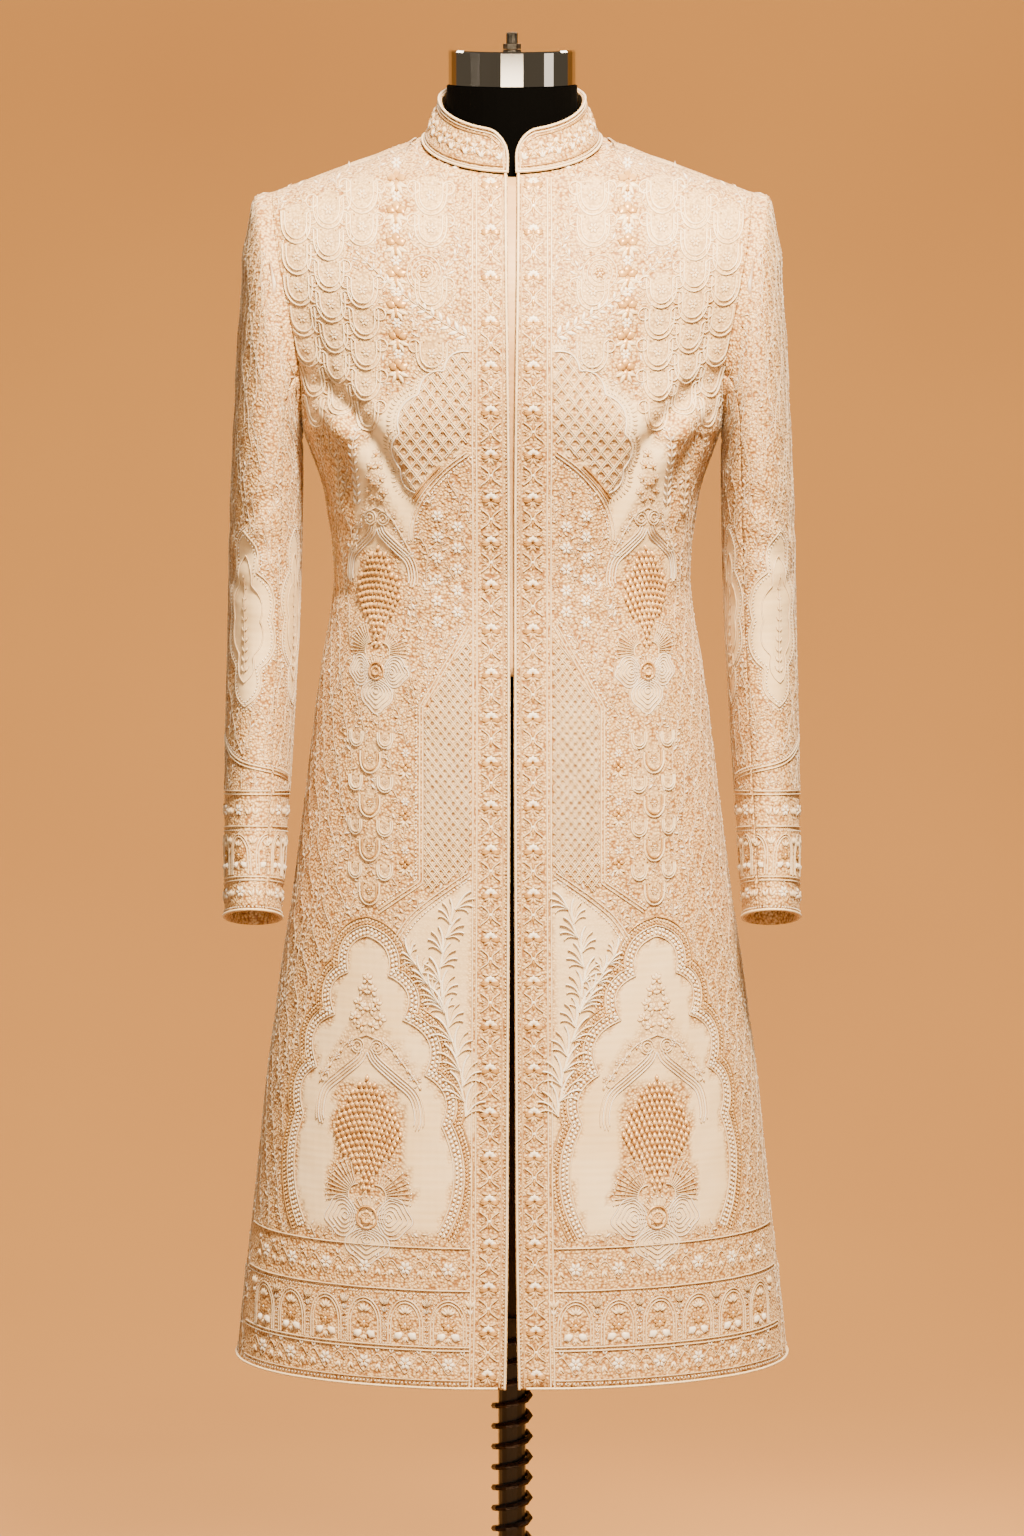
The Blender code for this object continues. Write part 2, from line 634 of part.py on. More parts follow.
def tube_mesh(name, inner, outer, bottom, top, segments):
    """Closed ring with a hole right through."""
    profile = ((inner, bottom), (outer, bottom), (outer, top), (inner, top))
    bm = bmesh.new()
    loops = []
    for radius, height in profile:
        angles = [math.tau * i / segments for i in range(segments)]
        loops.append([bm.verts.new((radius * math.cos(a), radius * math.sin(a), height)) for a in angles])
    for low, high in zip(loops, loops[1:] + loops[:1]):
        for i in range(segments):
            j = (i + 1) % segments
            bm.faces.new((low[i], low[j], high[j], high[i]))
    return finish_mesh(name, bm)


def build_stand():
    """Plate under the form, pole, spring between two stop collars, hub and round base."""
    plate_top = FORM_BOTTOM - GAP
    plate_bottom = plate_top - PLATE_THICKNESS
    plate = ((PLATE_RADIUS, plate_bottom), (PLATE_RADIUS, plate_top))
    add_object("form_plate", turned_mesh("form_plate", plate, 28), BLACK, 0.5)
    pole = ((POLE_RADIUS, HUB_TOP + GAP), (POLE_RADIUS, plate_bottom - GAP))
    add_object("pole", turned_mesh("pole", pole, 16), BLACK, 0.4)

    turns = (SPRING_TOP - SPRING_BOTTOM) / SPRING_PITCH
    steps = int(round(turns * SPRING_STEPS))
    path = []
    for i in range(steps + 1):
        turn = math.tau * i / SPRING_STEPS
        height = SPRING_BOTTOM + SPRING_WIRE + SPRING_PITCH * i / SPRING_STEPS
        path.append((SPRING_RADIUS * math.cos(turn), SPRING_RADIUS * math.sin(turn), height))
    ups = np.tile((0.0, 0.0, 1.0), (len(path), 1))
    spring = cord_mesh("spring", path, SPRING_WIRE, SPRING_SIDES, ups)
    add_object("spring", spring, STEEL, 0.35, 1.0)

    bore = POLE_RADIUS + GAP
    lower_top = SPRING_BOTTOM - GAP
    lower = tube_mesh("stop_lower", bore, STOP_RADIUS, lower_top - STOP_HEIGHT, lower_top, 20)
    add_object("stop_lower", lower, BLACK, 0.4)
    upper_bottom = SPRING_TOP + 2 * SPRING_WIRE + GAP + 0.002
    upper = tube_mesh("stop_upper", bore, STOP_RADIUS, upper_bottom, upper_bottom + STOP_HEIGHT, 20)
    add_object("stop_upper", upper, BLACK, 0.4)

    base = ((BASE_RADIUS, 0.0), (BASE_RADIUS, BASE_EDGE - 0.002), (BASE_RADIUS - 0.002, BASE_EDGE),
            (HUB_RADIUS + 0.02, BASE_TOP))
    add_object("base", turned_mesh("base", base, 48), BLACK, 0.45)
    hub = ((HUB_RADIUS, BASE_TOP + GAP), (HUB_RADIUS, HUB_TOP - 0.006), (HUB_RADIUS - 0.010, HUB_TOP))
    add_object("hub", turned_mesh("hub", hub, 24), BLACK, 0.45)


def main():
    """Empty the scene and build every piece."""
    for item in list(bpy.data.objects):
        bpy.data.objects.remove(item, do_unlink=True)
    build_coat()
    build_form()
    build_stand()


main()
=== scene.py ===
# %% [markdown]
# # A sherwani coat on a dress form
# The coat is ivory raw silk, cut in two fronts, a back, two-piece sleeves and a band collar,
# and nearly all of it is covered with tonal embroidery: couched cords, padded satin leaves,
# pearls and small gold beads.  It hangs on a black limbless form on a spring pole.
# This lesson shapes the cloth first, then sews the embroidery onto it in a flat pattern,
# the way it is worked on a frame before the coat is made up.

# %% Load the frame
import math

import bpy
import numpy as np
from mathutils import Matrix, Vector
from mathutils.bvhtree import BVHTree
from mathutils.kdtree import KDTree


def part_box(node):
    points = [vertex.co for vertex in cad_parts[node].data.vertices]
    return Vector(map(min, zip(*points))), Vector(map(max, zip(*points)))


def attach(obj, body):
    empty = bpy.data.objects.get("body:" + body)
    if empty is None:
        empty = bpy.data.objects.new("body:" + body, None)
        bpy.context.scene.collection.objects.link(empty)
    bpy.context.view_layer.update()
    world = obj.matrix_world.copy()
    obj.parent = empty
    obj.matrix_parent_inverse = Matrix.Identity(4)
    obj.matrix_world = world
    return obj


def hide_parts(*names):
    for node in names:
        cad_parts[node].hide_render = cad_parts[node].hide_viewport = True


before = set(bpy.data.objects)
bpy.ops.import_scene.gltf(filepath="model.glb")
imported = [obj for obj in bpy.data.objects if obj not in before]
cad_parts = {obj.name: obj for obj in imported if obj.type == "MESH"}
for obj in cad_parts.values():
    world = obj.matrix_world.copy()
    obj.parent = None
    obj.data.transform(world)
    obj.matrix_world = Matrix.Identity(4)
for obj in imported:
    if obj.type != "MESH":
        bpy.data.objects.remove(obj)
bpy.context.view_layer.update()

scene = bpy.context.scene
MM = 0.001
print("frame nodes:", len(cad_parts))

# %% [markdown]
# ## Colours and nodes
# Colours are picked as sRGB hex values and turned linear once.  One helper adds a shader node
# with its settings and links, so that each material reads as a short recipe.

# %% Colour and node helpers
def linear(hex_colour):
    """sRGB hex, such as "EAD5B5", as a linear RGBA colour."""
    parts = [int(hex_colour[i:i + 2], 16) / 255 for i in (0, 2, 4)]
    return [p / 12.92 if p <= 0.04045 else ((p + 0.055) / 1.055) ** 2.4 for p in parts] + [1.0]


def set_inputs(tree, item, **links):
    """Give a node's inputs a value or a socket, by name or, as i0, i1 and so on, by number."""
    for name, value in links.items():
        numbered = name[0] == "i" and name[1:].isdigit()
        socket = item.inputs[int(name[1:]) if numbered else name.replace("_", " ")]
        if isinstance(value, bpy.types.NodeSocket):
            tree.links.new(value, socket)
        else:
            socket.default_value = value


def add_node(tree, kind, settings=None, **links):
    """Add a node; settings are its properties, links its inputs by name: a value or a socket."""
    item = tree.nodes.new(kind)
    for name, value in (settings or {}).items():
        setattr(item, name, value)
    set_inputs(tree, item, **links)
    return item


def new_material(name):
    """An empty node material with its Principled shader and its tree."""
    material = bpy.data.materials.new(name)
    material.use_nodes = True
    tree = material.node_tree
    return material, tree, tree.nodes["Principled BSDF"]


def ramp(tree, factor, stops):
    """A colour ramp from (position, hex) stops."""
    item = add_node(tree, "ShaderNodeValToRGB", None, Fac=factor)
    elements = item.color_ramp.elements
    while len(elements) < len(stops):
        elements.new(0.5)
    for element, (position, colour) in zip(elements, stops):
        element.position = position
        element.color = linear(colour)
    return item.outputs["Color"]


# %% [markdown]
# ## Raw silk ground
# Raw silk is a plain weave of uneven, slubby yarn.  It gives a soft, broad sheen, fine crossing
# ribs and faint thicker yarns that wander across the cloth.  Its real yarns, about 0.25 mm
# apart, are too fine to show from here, so the ribs are drawn at 1.1 mm and kept shallow.

# %% Silk material
YARN_MM = 1.1
SEED_STITCH_MM = 2.4
SILK_IOR = 1.54
WAVES_PER_UNIT = 20      # the wave texture's own repeat at a scale of one


def silk_material(name, light, middle, dark, sheen, worked=None):
    """Raw silk: woven ribs, slubs and soft tone changes, with seed stitches and painted shade between them
    where it is worked.
    """
    material, tree, shader = new_material(name)
    place = add_node(tree, "ShaderNodeTexCoord").outputs["Object"]
    rib_scale = 1 / (YARN_MM * MM) / WAVES_PER_UNIT
    weft, warp = (add_node(tree, "ShaderNodeTexWave", {"wave_type": "BANDS", "bands_direction": way},
                           Vector=place, Scale=rib_scale, Distortion=1.2, Detail=2.0) for way in "ZX")
    stretch = add_node(tree, "ShaderNodeMapping", None, Vector=place, Scale=(18.0, 18.0, 260.0))
    slub = add_node(tree, "ShaderNodeTexNoise", None, Vector=stretch.outputs["Vector"], Scale=1.0,
                    Detail=3.0)
    tone = add_node(tree, "ShaderNodeTexNoise", None, Vector=place, Scale=9.0, Detail=4.0)
    mixed = add_node(tree, "ShaderNodeMath", {"operation": "MULTIPLY_ADD"},
                     i0=slub.outputs["Fac"], i1=0.35, i2=tone.outputs["Fac"])
    colour = ramp(tree, mixed.outputs[0], ((0.45, dark), (0.68, middle), (0.92, light)))
    ribs = add_node(tree, "ShaderNodeMath", {"operation": "ADD"}, i0=weft.outputs["Fac"],
                    i1=warp.outputs["Fac"])
    height = add_node(tree, "ShaderNodeMath", {"operation": "MULTIPLY_ADD"},
                      i0=slub.outputs["Fac"], i1=1.6, i2=ribs.outputs[0])
    bump = add_node(tree, "ShaderNodeBump", None, Height=height.outputs[0], Strength=0.18, Distance=0.0003)
    normal = bump.outputs["Normal"]
    if worked:
        # Painted shade: on worked ground each seed stitch is light on top and darkens to brown at its rim,
        # and crowded ground turns darker, standing in for the shade between the stitches.
        crowd = add_node(tree, "ShaderNodeAttribute", {"attribute_name": "worked"}).outputs["Fac"]
        seeds = add_node(tree, "ShaderNodeTexVoronoi", {"feature": "SMOOTH_F1"}, Vector=place,
                         Scale=1 / (SEED_STITCH_MM * MM), Smoothness=0.4).outputs["Distance"]
        seed_shade_colour = ramp(tree, seeds, ((0.12, worked[0]), (0.42, worked[1]), (0.75, worked[2])))
        colour = add_node(tree, "ShaderNodeMix", {"data_type": "RGBA"}, i0=crowd, i6=colour,
                          i7=seed_shade_colour).outputs[2]
        mound = add_node(tree, "ShaderNodeMath", {"operation": "MULTIPLY"}, i0=seeds, i1=crowd)
        raised = add_node(tree, "ShaderNodeBump", {"invert": True}, Height=mound.outputs[0], Strength=0.9,
                          Distance=0.0012, Normal=normal)
        normal = raised.outputs["Normal"]
    set_inputs(tree, shader, Base_Color=colour, Normal=normal, Roughness=0.52, IOR=SILK_IOR,
               Sheen_Weight=sheen, Sheen_Roughness=0.35, Sheen_Tint=linear("FFF0D8"))
    return material


# The last three colours are the worked ground: seed stitches lit on top, with painted shade down to brown
# between them.
silk = silk_material("raw_silk_ivory", "F9E4BC", "F3D9AA", "E8C890", 0.20, ("F5DDB0", "DDB67C", "9A6A38"))
underlap_silk = silk_material("satin_tan_underlap", "D9B98C", "CBA473", "B98F5E", 0.15)
print("silk materials ready")

# %% [markdown]
# ## Threads, pearls and gold
# Rayon embroidery thread is glossy and lies in close parallel strands, so the satin leaves and
# cords get a fine strand bump and a low roughness.  A tan rayon shades the placket.  Gold zari
# thread and glass beads are warmer and catch small sharp lights.  Pearls are nearly white with a
# clear coat.

# %% Thread materials
STRAND_MM = 0.9


def thread_material(name, light, dark, foot, roughness, metallic=0.0, coat=0.0, strands=True):
    """Twisted thread: fine strands, small changes of tone, and painted shade at its foot where it meets the
    cloth.
    """
    material, tree, shader = new_material(name)
    place = add_node(tree, "ShaderNodeTexCoord").outputs["Object"]
    patch = add_node(tree, "ShaderNodeTexNoise", None, Vector=place, Scale=120.0, Detail=2.0)
    wide = add_node(tree, "ShaderNodeTexNoise", None, Vector=place, Scale=14.0, Detail=2.0)
    tone = add_node(tree, "ShaderNodeMath", {"operation": "MULTIPLY_ADD"},
                    i0=wide.outputs["Fac"], i1=0.6, i2=patch.outputs["Fac"])
    colour = ramp(tree, tone.outputs[0], ((0.55, dark), (1.0, light)))
    # Painted shade: where the thread is low, near the cloth, it takes the foot colour, standing in for the
    # shade in the crevice beside each stitch.
    proud = add_node(tree, "ShaderNodeAttribute", {"attribute_name": "proud"}).outputs["Fac"]
    depth = add_node(tree, "ShaderNodeMapRange", None, Value=proud, From_Min=0.05, From_Max=0.95)
    colour = add_node(tree, "ShaderNodeMix", {"data_type": "RGBA"}, i0=depth.outputs["Result"],
                      i6=linear(foot), i7=colour).outputs[2]
    set_inputs(tree, shader, Base_Color=colour)
    if strands:
        scale = 1 / (STRAND_MM * MM) / WAVES_PER_UNIT
        band = add_node(tree, "ShaderNodeTexWave", {"wave_type": "BANDS", "bands_direction": "DIAGONAL"},
                        Vector=place, Scale=scale, Distortion=2.0, Detail=1.0)
        bump = add_node(tree, "ShaderNodeBump", None, Height=band.outputs["Fac"], Strength=0.3,
                        Distance=0.0002)
        set_inputs(tree, shader, Normal=bump.outputs["Normal"])
    set_inputs(tree, shader, Roughness=roughness, Metallic=metallic, Coat_Weight=coat, Coat_Roughness=0.15,
               Sheen_Weight=0.0 if metallic else 0.2)
    return material


# The third colour of each thread is painted shade, laid where the thread meets the cloth.
THREADS = {
    "cream": thread_material("rayon_thread_cream", "FCEAC8", "EFD3A2", "8E6234", 0.42),
    "white": thread_material("rayon_thread_white", "FFFAEE", "FBEBD0", "9C7040", 0.38),
    "tan": thread_material("rayon_thread_tan", "EFCF9A", "D2A870", "744C24", 0.42),
    "gold": thread_material("zari_thread_gold", "E0B272", "B88748", "5E3C1C", 0.34, metallic=0.15, coat=0.2),
    "bead": thread_material("glass_bead_tan", "F2D6A6", "D9B27A", "6E4822", 0.25, coat=0.5, strands=False),
    "pearl": thread_material("glass_pearl_ivory", "FFFAEC", "FBECD0", "8E6638", 0.20, coat=0.7,
                             strands=False),
}
print("threads:", sorted(THREADS))

# %% [markdown]
# ## The cut
# A pattern cutter works from a few body measures taken at named heights.  The same tables give
# every section of the coat: half the width, and how far the front and the back stand out.
# Reading between the rows with a smooth curve gives a dense, fair surface.

# %% Cutting tables, in metres
hem_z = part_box("front_left")[0][2]
armpit_z = 1.282
shoulder_z = 1.493
BODY = {
    "height": (hem_z, 0.500, 0.590, 0.690, 0.790, 0.885, 0.980, 1.065, 1.150, 1.220, armpit_z),
    "half_width": (0.2470, 0.2410, 0.2308, 0.2208, 0.2077, 0.1938, 0.1820, 0.1710, 0.1588, 0.1662, 0.1860),
    "front": (0.1650, 0.1610, 0.1560, 0.1500, 0.1450, 0.1410, 0.1360, 0.1305, 0.1250, 0.1325, 0.1420),
    "back": (0.1620, 0.1600, 0.1560, 0.1530, 0.1510, 0.1500, 0.1440, 0.1310, 0.1170, 0.1170, 0.1220),
    "squareness": (2.20, 2.20, 2.20, 2.20, 2.20, 2.25, 2.30, 2.35, 2.40, 2.40, 2.45),
    "opening": (0.0050, 0.0040, 0.0030, 0.0026, 0.0022, 0.0018, 0.0015, 0.0014, 0.0014, 0.0014, 0.0018),
}
YOKE = {
    "armhole_angle": (180, 150, 120, 90, 58, 32, 24),
    "front_height": (armpit_z, 1.322, 1.365, 1.410, 1.458, 1.497, 1.513),
    "front_depth": (0.1420, 0.1455, 0.1440, 0.1340, 0.1135, 0.0860, 0.0700),
    "back_height": (armpit_z, 1.330, 1.382, 1.436, 1.490, 1.535, 1.552),
    "back_depth": (0.1220, 0.1280, 0.1290, 0.1210, 0.1010, 0.0750, 0.0660),
    "opening": (0.0018, 0.0022, 0.0028, 0.0034, 0.0038, 0.0040, 0.0040),
}
ARMHOLE = {
    "height": (armpit_z, 1.335, 1.386, 1.450, shoulder_z),
    "half_width": (0.1860, 0.1880, 0.1965, 0.2085, 0.2136),
}
NECK = {"half_width": 0.0787, "front": 0.070, "back": 0.066, "side_z": 1.538, "drop": 0.025, "rise": 0.014}
LAST_CENTRE_ANGLE = 24
ARMHOLE_HALF_DEPTH = 0.070
SEAM_GAP = 0.0003
CLOTH_WALL = 0.0016


def smooth_read(xs, ys, x):
    """Monotone cubic through a short table, so that curves stay fair between its rows."""
    xs, ys = np.asarray(xs, float), np.asarray(ys, float)
    order = np.argsort(xs)
    xs, ys = xs[order], ys[order]
    step = np.diff(xs)
    slope = np.diff(ys) / step
    tangent = np.empty_like(ys)
    tangent[0], tangent[-1] = slope[0], slope[-1]
    same = slope[:-1] * slope[1:] > 0
    tangent[1:-1] = np.where(same, 2 * slope[:-1] * slope[1:] / np.where(same, slope[:-1] + slope[1:], 1), 0)
    x = np.clip(x, xs[0], xs[-1])
    i = np.clip(np.searchsorted(xs, x) - 1, 0, len(xs) - 2)
    t = (x - xs[i]) / step[i]
    near = (1 + 2 * t) * (1 - t) ** 2 * ys[i] + t * (1 - t) ** 2 * step[i] * tangent[i]
    far = t * t * (3 - 2 * t) * ys[i + 1] + t * t * (t - 1) * step[i] * tangent[i + 1]
    return near + far


def armhole_point(angle, side):
    """Point on the armhole seam: 0 shoulder, 180 armpit; side -1 in front, +1 behind."""
    turn = math.radians(angle)
    height = (shoulder_z + armpit_z) / 2 + (shoulder_z - armpit_z) / 2 * math.cos(turn)
    width = float(smooth_read(ARMHOLE["height"], ARMHOLE["half_width"], height))
    return np.array((width, side * ARMHOLE_HALF_DEPTH * math.sin(turn), height))


def neckline_point(angle):
    """Point on the collar seam: 0 centre front, 90 shoulder, 180 centre back."""
    turn = math.radians(angle)
    is_front = angle <= 90
    depth = NECK["front"] if is_front else NECK["back"]
    fall = (NECK["drop"] if is_front else NECK["rise"]) * math.cos(turn)
    return np.array((NECK["half_width"] * math.sin(turn), -depth * math.cos(turn), NECK["side_z"] - fall))


print("hem at", round(hem_z, 4), "m")

# %% [markdown]
# ## Dense panels
# Each panel is a grid: its rows run from the centre line to the side seam or the armhole, and
# above the armpit they tilt up to the shoulder seam.  A long grid is easy to wall, to crease and
# to flatten again, which is what the embroidery needs.

# %% Panel grids
BODY_ROWS = 90
YOKE_ROWS = 54
NECK_ROWS = 14
PANEL_COLUMNS = 50


def unit(vectors):
    """Vectors scaled to length one along the last axis."""
    return vectors / np.maximum(np.linalg.norm(vectors, axis=-1, keepdims=True), 1e-12)


def grid_normals(points):
    """Outward normals of a grid."""
    return unit(np.cross(np.gradient(points, axis=1), np.gradient(points, axis=0)))


def panel_row(start, end, squareness, roundness):
    """Row from the centre line to the side, as a rounded-box quarter."""
    across = np.sin(np.linspace(0, math.pi / 2, PANEL_COLUMNS))
    depth = np.maximum(1 - across ** squareness, 0) ** roundness
    x = start[0] + (end[0] - start[0]) * across
    y = end[1] + (start[1] - end[1]) * depth
    z = start[2] + (end[2] - start[2]) * across
    return np.stack((x, y, z), axis=-1)


def body_grid(side):
    """Half of the coat's body on the wearer's left: side -1 is the front, +1 the back."""
    name = "front" if side < 0 else "back"
    seam = side * SEAM_GAP / 2
    rows = []
    for height in np.linspace(hem_z, armpit_z, BODY_ROWS)[:-1]:
        row = {key: float(smooth_read(BODY["height"], BODY[key], height)) for key in BODY}
        start = (row["opening"] if side < 0 else 0.0, side * row[name], height)
        rows.append(panel_row(start, (row["half_width"], seam, height), row["squareness"],
                              1 / row["squareness"]))
    squareness = BODY["squareness"][-1]
    top_angles = np.linspace(180, LAST_CENTRE_ANGLE, YOKE_ROWS - NECK_ROWS)
    neck_angles = np.linspace(LAST_CENTRE_ANGLE, 0, NECK_ROWS + 1)[1:]
    for angle in np.concatenate((top_angles, neck_angles)):
        end = armhole_point(angle, side)
        end[1] += seam
        opening = float(smooth_read(YOKE["armhole_angle"], YOKE["opening"], angle)) if side < 0 else 0.0
        if angle >= LAST_CENTRE_ANGLE:
            height = float(smooth_read(YOKE["armhole_angle"], YOKE[name + "_height"], angle))
            depth = float(smooth_read(YOKE["armhole_angle"], YOKE[name + "_depth"], angle))
            start = np.array((opening, side * depth, height))
        else:
            share = 1 - angle / LAST_CENTRE_ANGLE
            start = neckline_point(90 * share if side < 0 else 180 - 90 * share)
            start[0] = max(start[0], opening)
            start[1] += seam * share
        turn = min((180 - angle) / 90, 1.0)
        ease = turn * turn * (3 - 2 * turn)
        roundness = 1 / squareness + (1 - 1 / squareness) * ease
        rows.append(panel_row(start, end, squareness - 0.45 * ease, roundness))
    return np.array(rows)


SLEEVE = {
    "inner_x": (0.1860, 0.1868, 0.1873, 0.1876, 0.1876, 0.1876, 0.1888, 0.1915, 0.1960, 0.2010, 0.2070),
    "inner_z": (1.2820, 1.2785, 1.2750, 1.2715, 1.2670, 1.2450, 1.1750, 1.1000, 1.0200, 0.9350, 0.8460),
    "outer_x": (0.2136, 0.2270, 0.2345, 0.2395, 0.2440, 0.2490, 0.2525, 0.2545, 0.2562, 0.2577, 0.2568),
    "outer_z": (1.4930, 1.4895, 1.4660, 1.4217, 1.3580, 1.2700, 1.1850, 1.1020, 1.0200, 0.9350, 0.8460),
    "middle_y": (0.000, 0.000, 0.000, 0.000, 0.001, 0.002, 0.004, 0.002, -0.008, -0.026, -0.050),
    "half_depth": (0.0700, 0.0745, 0.0775, 0.0790, 0.0795, 0.0785, 0.0750, 0.0705, 0.0655, 0.0600, 0.0545),
    "armhole_share": (1.0, 0.7, 0.4, 0.2, 0.0, 0.0, 0.0, 0.0, 0.0, 0.0, 0.0),
}
SLEEVE_ROWS = 110
SLEEVE_COLUMNS = 72
SLEEVE_SEAM_ANGLE = 120
TILT_FROM = 6
HEAD_RINGS = 4
HEAD_ROWS = 45


def sleeve_grid():
    """The wearer's left sleeve all round, from the armhole down; column 0 is its outer line."""
    places = np.arange(len(SLEEVE["inner_x"]))
    steps = np.concatenate((np.linspace(0, HEAD_RINGS, HEAD_ROWS + 1)[:-1],
                            np.linspace(HEAD_RINGS, len(places) - 1, SLEEVE_ROWS - HEAD_ROWS)))
    ring = {key: smooth_read(places, SLEEVE[key], steps) for key in SLEEVE}
    angles = np.linspace(-180, 180, SLEEVE_COLUMNS + 1)
    cos, sin = np.cos(np.radians(angles)), np.sin(np.radians(angles))
    seam_x = np.array([armhole_point(abs(a), -1) for a in angles])
    low_x, low_z, high_x, high_z = (SLEEVE[key][0] for key in ("inner_x", "inner_z", "outer_x", "outer_z"))
    bow = seam_x[:, 0] - (low_x + (high_x - low_x) * (seam_x[:, 2] - low_z) / (high_z - low_z))
    lean = np.gradient(ring["middle_y"]) / np.gradient(ring["inner_z"])
    lean *= np.clip(steps - TILT_FROM, 0, 1)
    inner_x, outer_x = ring["inner_x"][:, None], ring["outer_x"][:, None]
    inner_z, outer_z = ring["inner_z"][:, None], ring["outer_z"][:, None]
    x = (inner_x + outer_x) / 2 + (outer_x - inner_x) / 2 * cos
    x = x + bow * ring["armhole_share"][:, None] + SEAM_GAP
    y = ring["middle_y"][:, None] - ring["half_depth"][:, None] * sin
    z = (inner_z + outer_z) / 2 + (outer_z - inner_z) / 2 * cos
    z = z + ring["half_depth"][:, None] * lean[:, None] * sin
    return np.stack((x, y, z), axis=-1)


COLLAR = {"lift": 0.0012, "height": 0.037, "top_radius": 0.064, "corner": 0.024, "first_angle": 3.0,
          "corner_arc": 20.0}
COLLAR_ROWS = 12
CORNER_COLUMNS = 26


def collar_grid():
    """The collar's wearer's-left half, from its front edge to centre back, rows going up."""
    first, corner_arc = COLLAR["first_angle"], COLLAR["corner_arc"]
    angles = np.concatenate((first + corner_arc * np.linspace(0, 1, CORNER_COLUMNS) ** 1.6,
                             np.linspace(first + corner_arc, 180, PANEL_COLUMNS)[1:]))
    shares = np.linspace(0, 1, COLLAR_ROWS)
    grid = np.zeros((len(shares), len(angles), 3))
    for c, angle in enumerate(angles):
        turn = math.radians(angle)
        base = neckline_point(angle)
        top = np.array((COLLAR["top_radius"] * math.sin(turn), -COLLAR["top_radius"] * math.cos(turn)))
        distance = NECK["half_width"] * (turn - math.radians(COLLAR["first_angle"]))
        height = COLLAR["height"]
        if distance < COLLAR["corner"]:
            back_off = COLLAR["corner"] - distance
            height -= COLLAR["corner"] - math.sqrt(COLLAR["corner"] ** 2 - back_off ** 2)
        rise = shares[:, None] * height / COLLAR["height"]
        grid[:, c, :2] = base[:2] + (top - base[:2]) * rise
        grid[:, c, 2] = base[2] + COLLAR["lift"] + height * shares
    return grid


front_flat = body_grid(-1)
back_flat = body_grid(1)[:, ::-1]
sleeve_flat = sleeve_grid()
collar_flat = collar_grid()
print("front grid", front_flat.shape[:2], "sleeve grid", sleeve_flat.shape[:2])

# %% [markdown]
# ## Creases
# A stiff embroidered coat hardly folds, but it is never flat: soft hollows run from the chest to
# the underarm, the skirt opens in a few shallow flutes that fade upwards, the elbow pulls small
# diagonals, and the plain satin grounds pucker between rows of stitching.  Each main crease is
# placed as a soft trough with its own length, depth and direction.

# %% Creases
# across and up are where its middle is, in mm from the centre line and above the hem or the cuff.
# The columns are across, up, half_length, half_width, lean_degrees and depth.
FRONT_CREASES = (
    (150, 868, 62, 11, 38, 5.2), (128, 842, 48, 9, 47, 3.6), (168, 822, 46, 10, 60, 4.2),
    (100, 800, 40, 9, 55, 1.6), (140, 752, 36, 8, 20, 1.4), (70, 700, 46, 10, 8, -1.0),
    (175, 700, 30, 8, 10, 1.6), (150, 655, 34, 9, -14, 1.2), (96, 590, 44, 12, 80, 1.2),
    (185, 930, 36, 9, 70, 1.8), (110, 960, 60, 16, 20, -1.4), (150, 470, 50, 14, 75, 1.4),
)
BACK_CREASES = (
    (150, 860, 58, 12, 40, 2.8), (120, 905, 44, 10, 30, 1.8), (60, 760, 50, 10, 6, 1.6),
    (95, 700, 44, 9, 12, 1.8), (40, 668, 40, 8, -4, 1.2), (150, 640, 36, 10, 30, 1.4),
    (60, 1010, 60, 18, 10, -1.6), (120, 520, 60, 16, 82, 1.4),
)
SLEEVE_CREASES = (
    (70, 330, 34, 8, 24, 2.6), (58, 300, 30, 7, -16, 2.0), (82, 372, 28, 8, 34, 2.2),
    (20, 352, 30, 9, 12, 1.4), (-60, 318, 32, 9, -20, 2.4), (-78, 362, 30, 8, 18, 1.8),
    (46, 214, 36, 9, 70, 1.4), (-40, 190, 34, 9, -66, 1.6), (30, 500, 44, 12, 78, 1.8),
    (-34, 520, 46, 12, -78, 1.8), (0, 590, 40, 13, 5, -1.6), (88, 440, 40, 8, 62, 2.2),
)
FLUTES = ((0.35, 0.20, 2.0), (0.95, 0.26, -2.4), (1.62, 0.22, 2.2), (2.25, 0.30, -2.0), (2.80, 0.24, 2.4))


CREASE_BEND = 0.0035         # how quickly a trough curves, for each mm along it
RIM_AWAY = 1.9               # half widths from the trough to the soft ridge beside it
RIM_SHARE = 0.35


def crease_depth(chart, table):
    """How far in the cloth sits at each chart point, in mm, from a table of troughs."""
    total = np.zeros(chart.shape[:2])
    for across, up, half_length, half_width, lean, depth in table:
        turn = math.radians(lean)
        du, dv = chart[..., 0] - across, chart[..., 1] - up
        along = du * math.cos(turn) + dv * math.sin(turn)
        aside = -du * math.sin(turn) + dv * math.cos(turn)
        bend = aside + CREASE_BEND * along ** 2
        trough = np.exp(-(along / half_length) ** 2) * np.exp(-(bend / half_width) ** 2)
        beyond = (np.abs(bend) - RIM_AWAY * half_width) / half_width
        rim = np.exp(-(along / half_length) ** 2) * np.exp(-beyond ** 2)
        total += depth * (trough - RIM_SHARE * rim)
    return total


FLUTES_END = 0.95            # height where the flutes have faded out
FLUTES_FADE = 0.5


def flute_depth(points):
    """Shallow upright flutes of the skirt, by the angle round the body, fading upwards."""
    angle = np.abs(np.arctan2(points[..., 0], -points[..., 1]))
    fade = np.clip((FLUTES_END - points[..., 2]) / FLUTES_FADE, 0, 1) ** 1.5
    total = np.zeros(points.shape[:2])
    for middle, width, depth in FLUTES:
        total += depth * np.exp(-((angle - middle) / width) ** 2)
    return total * fade


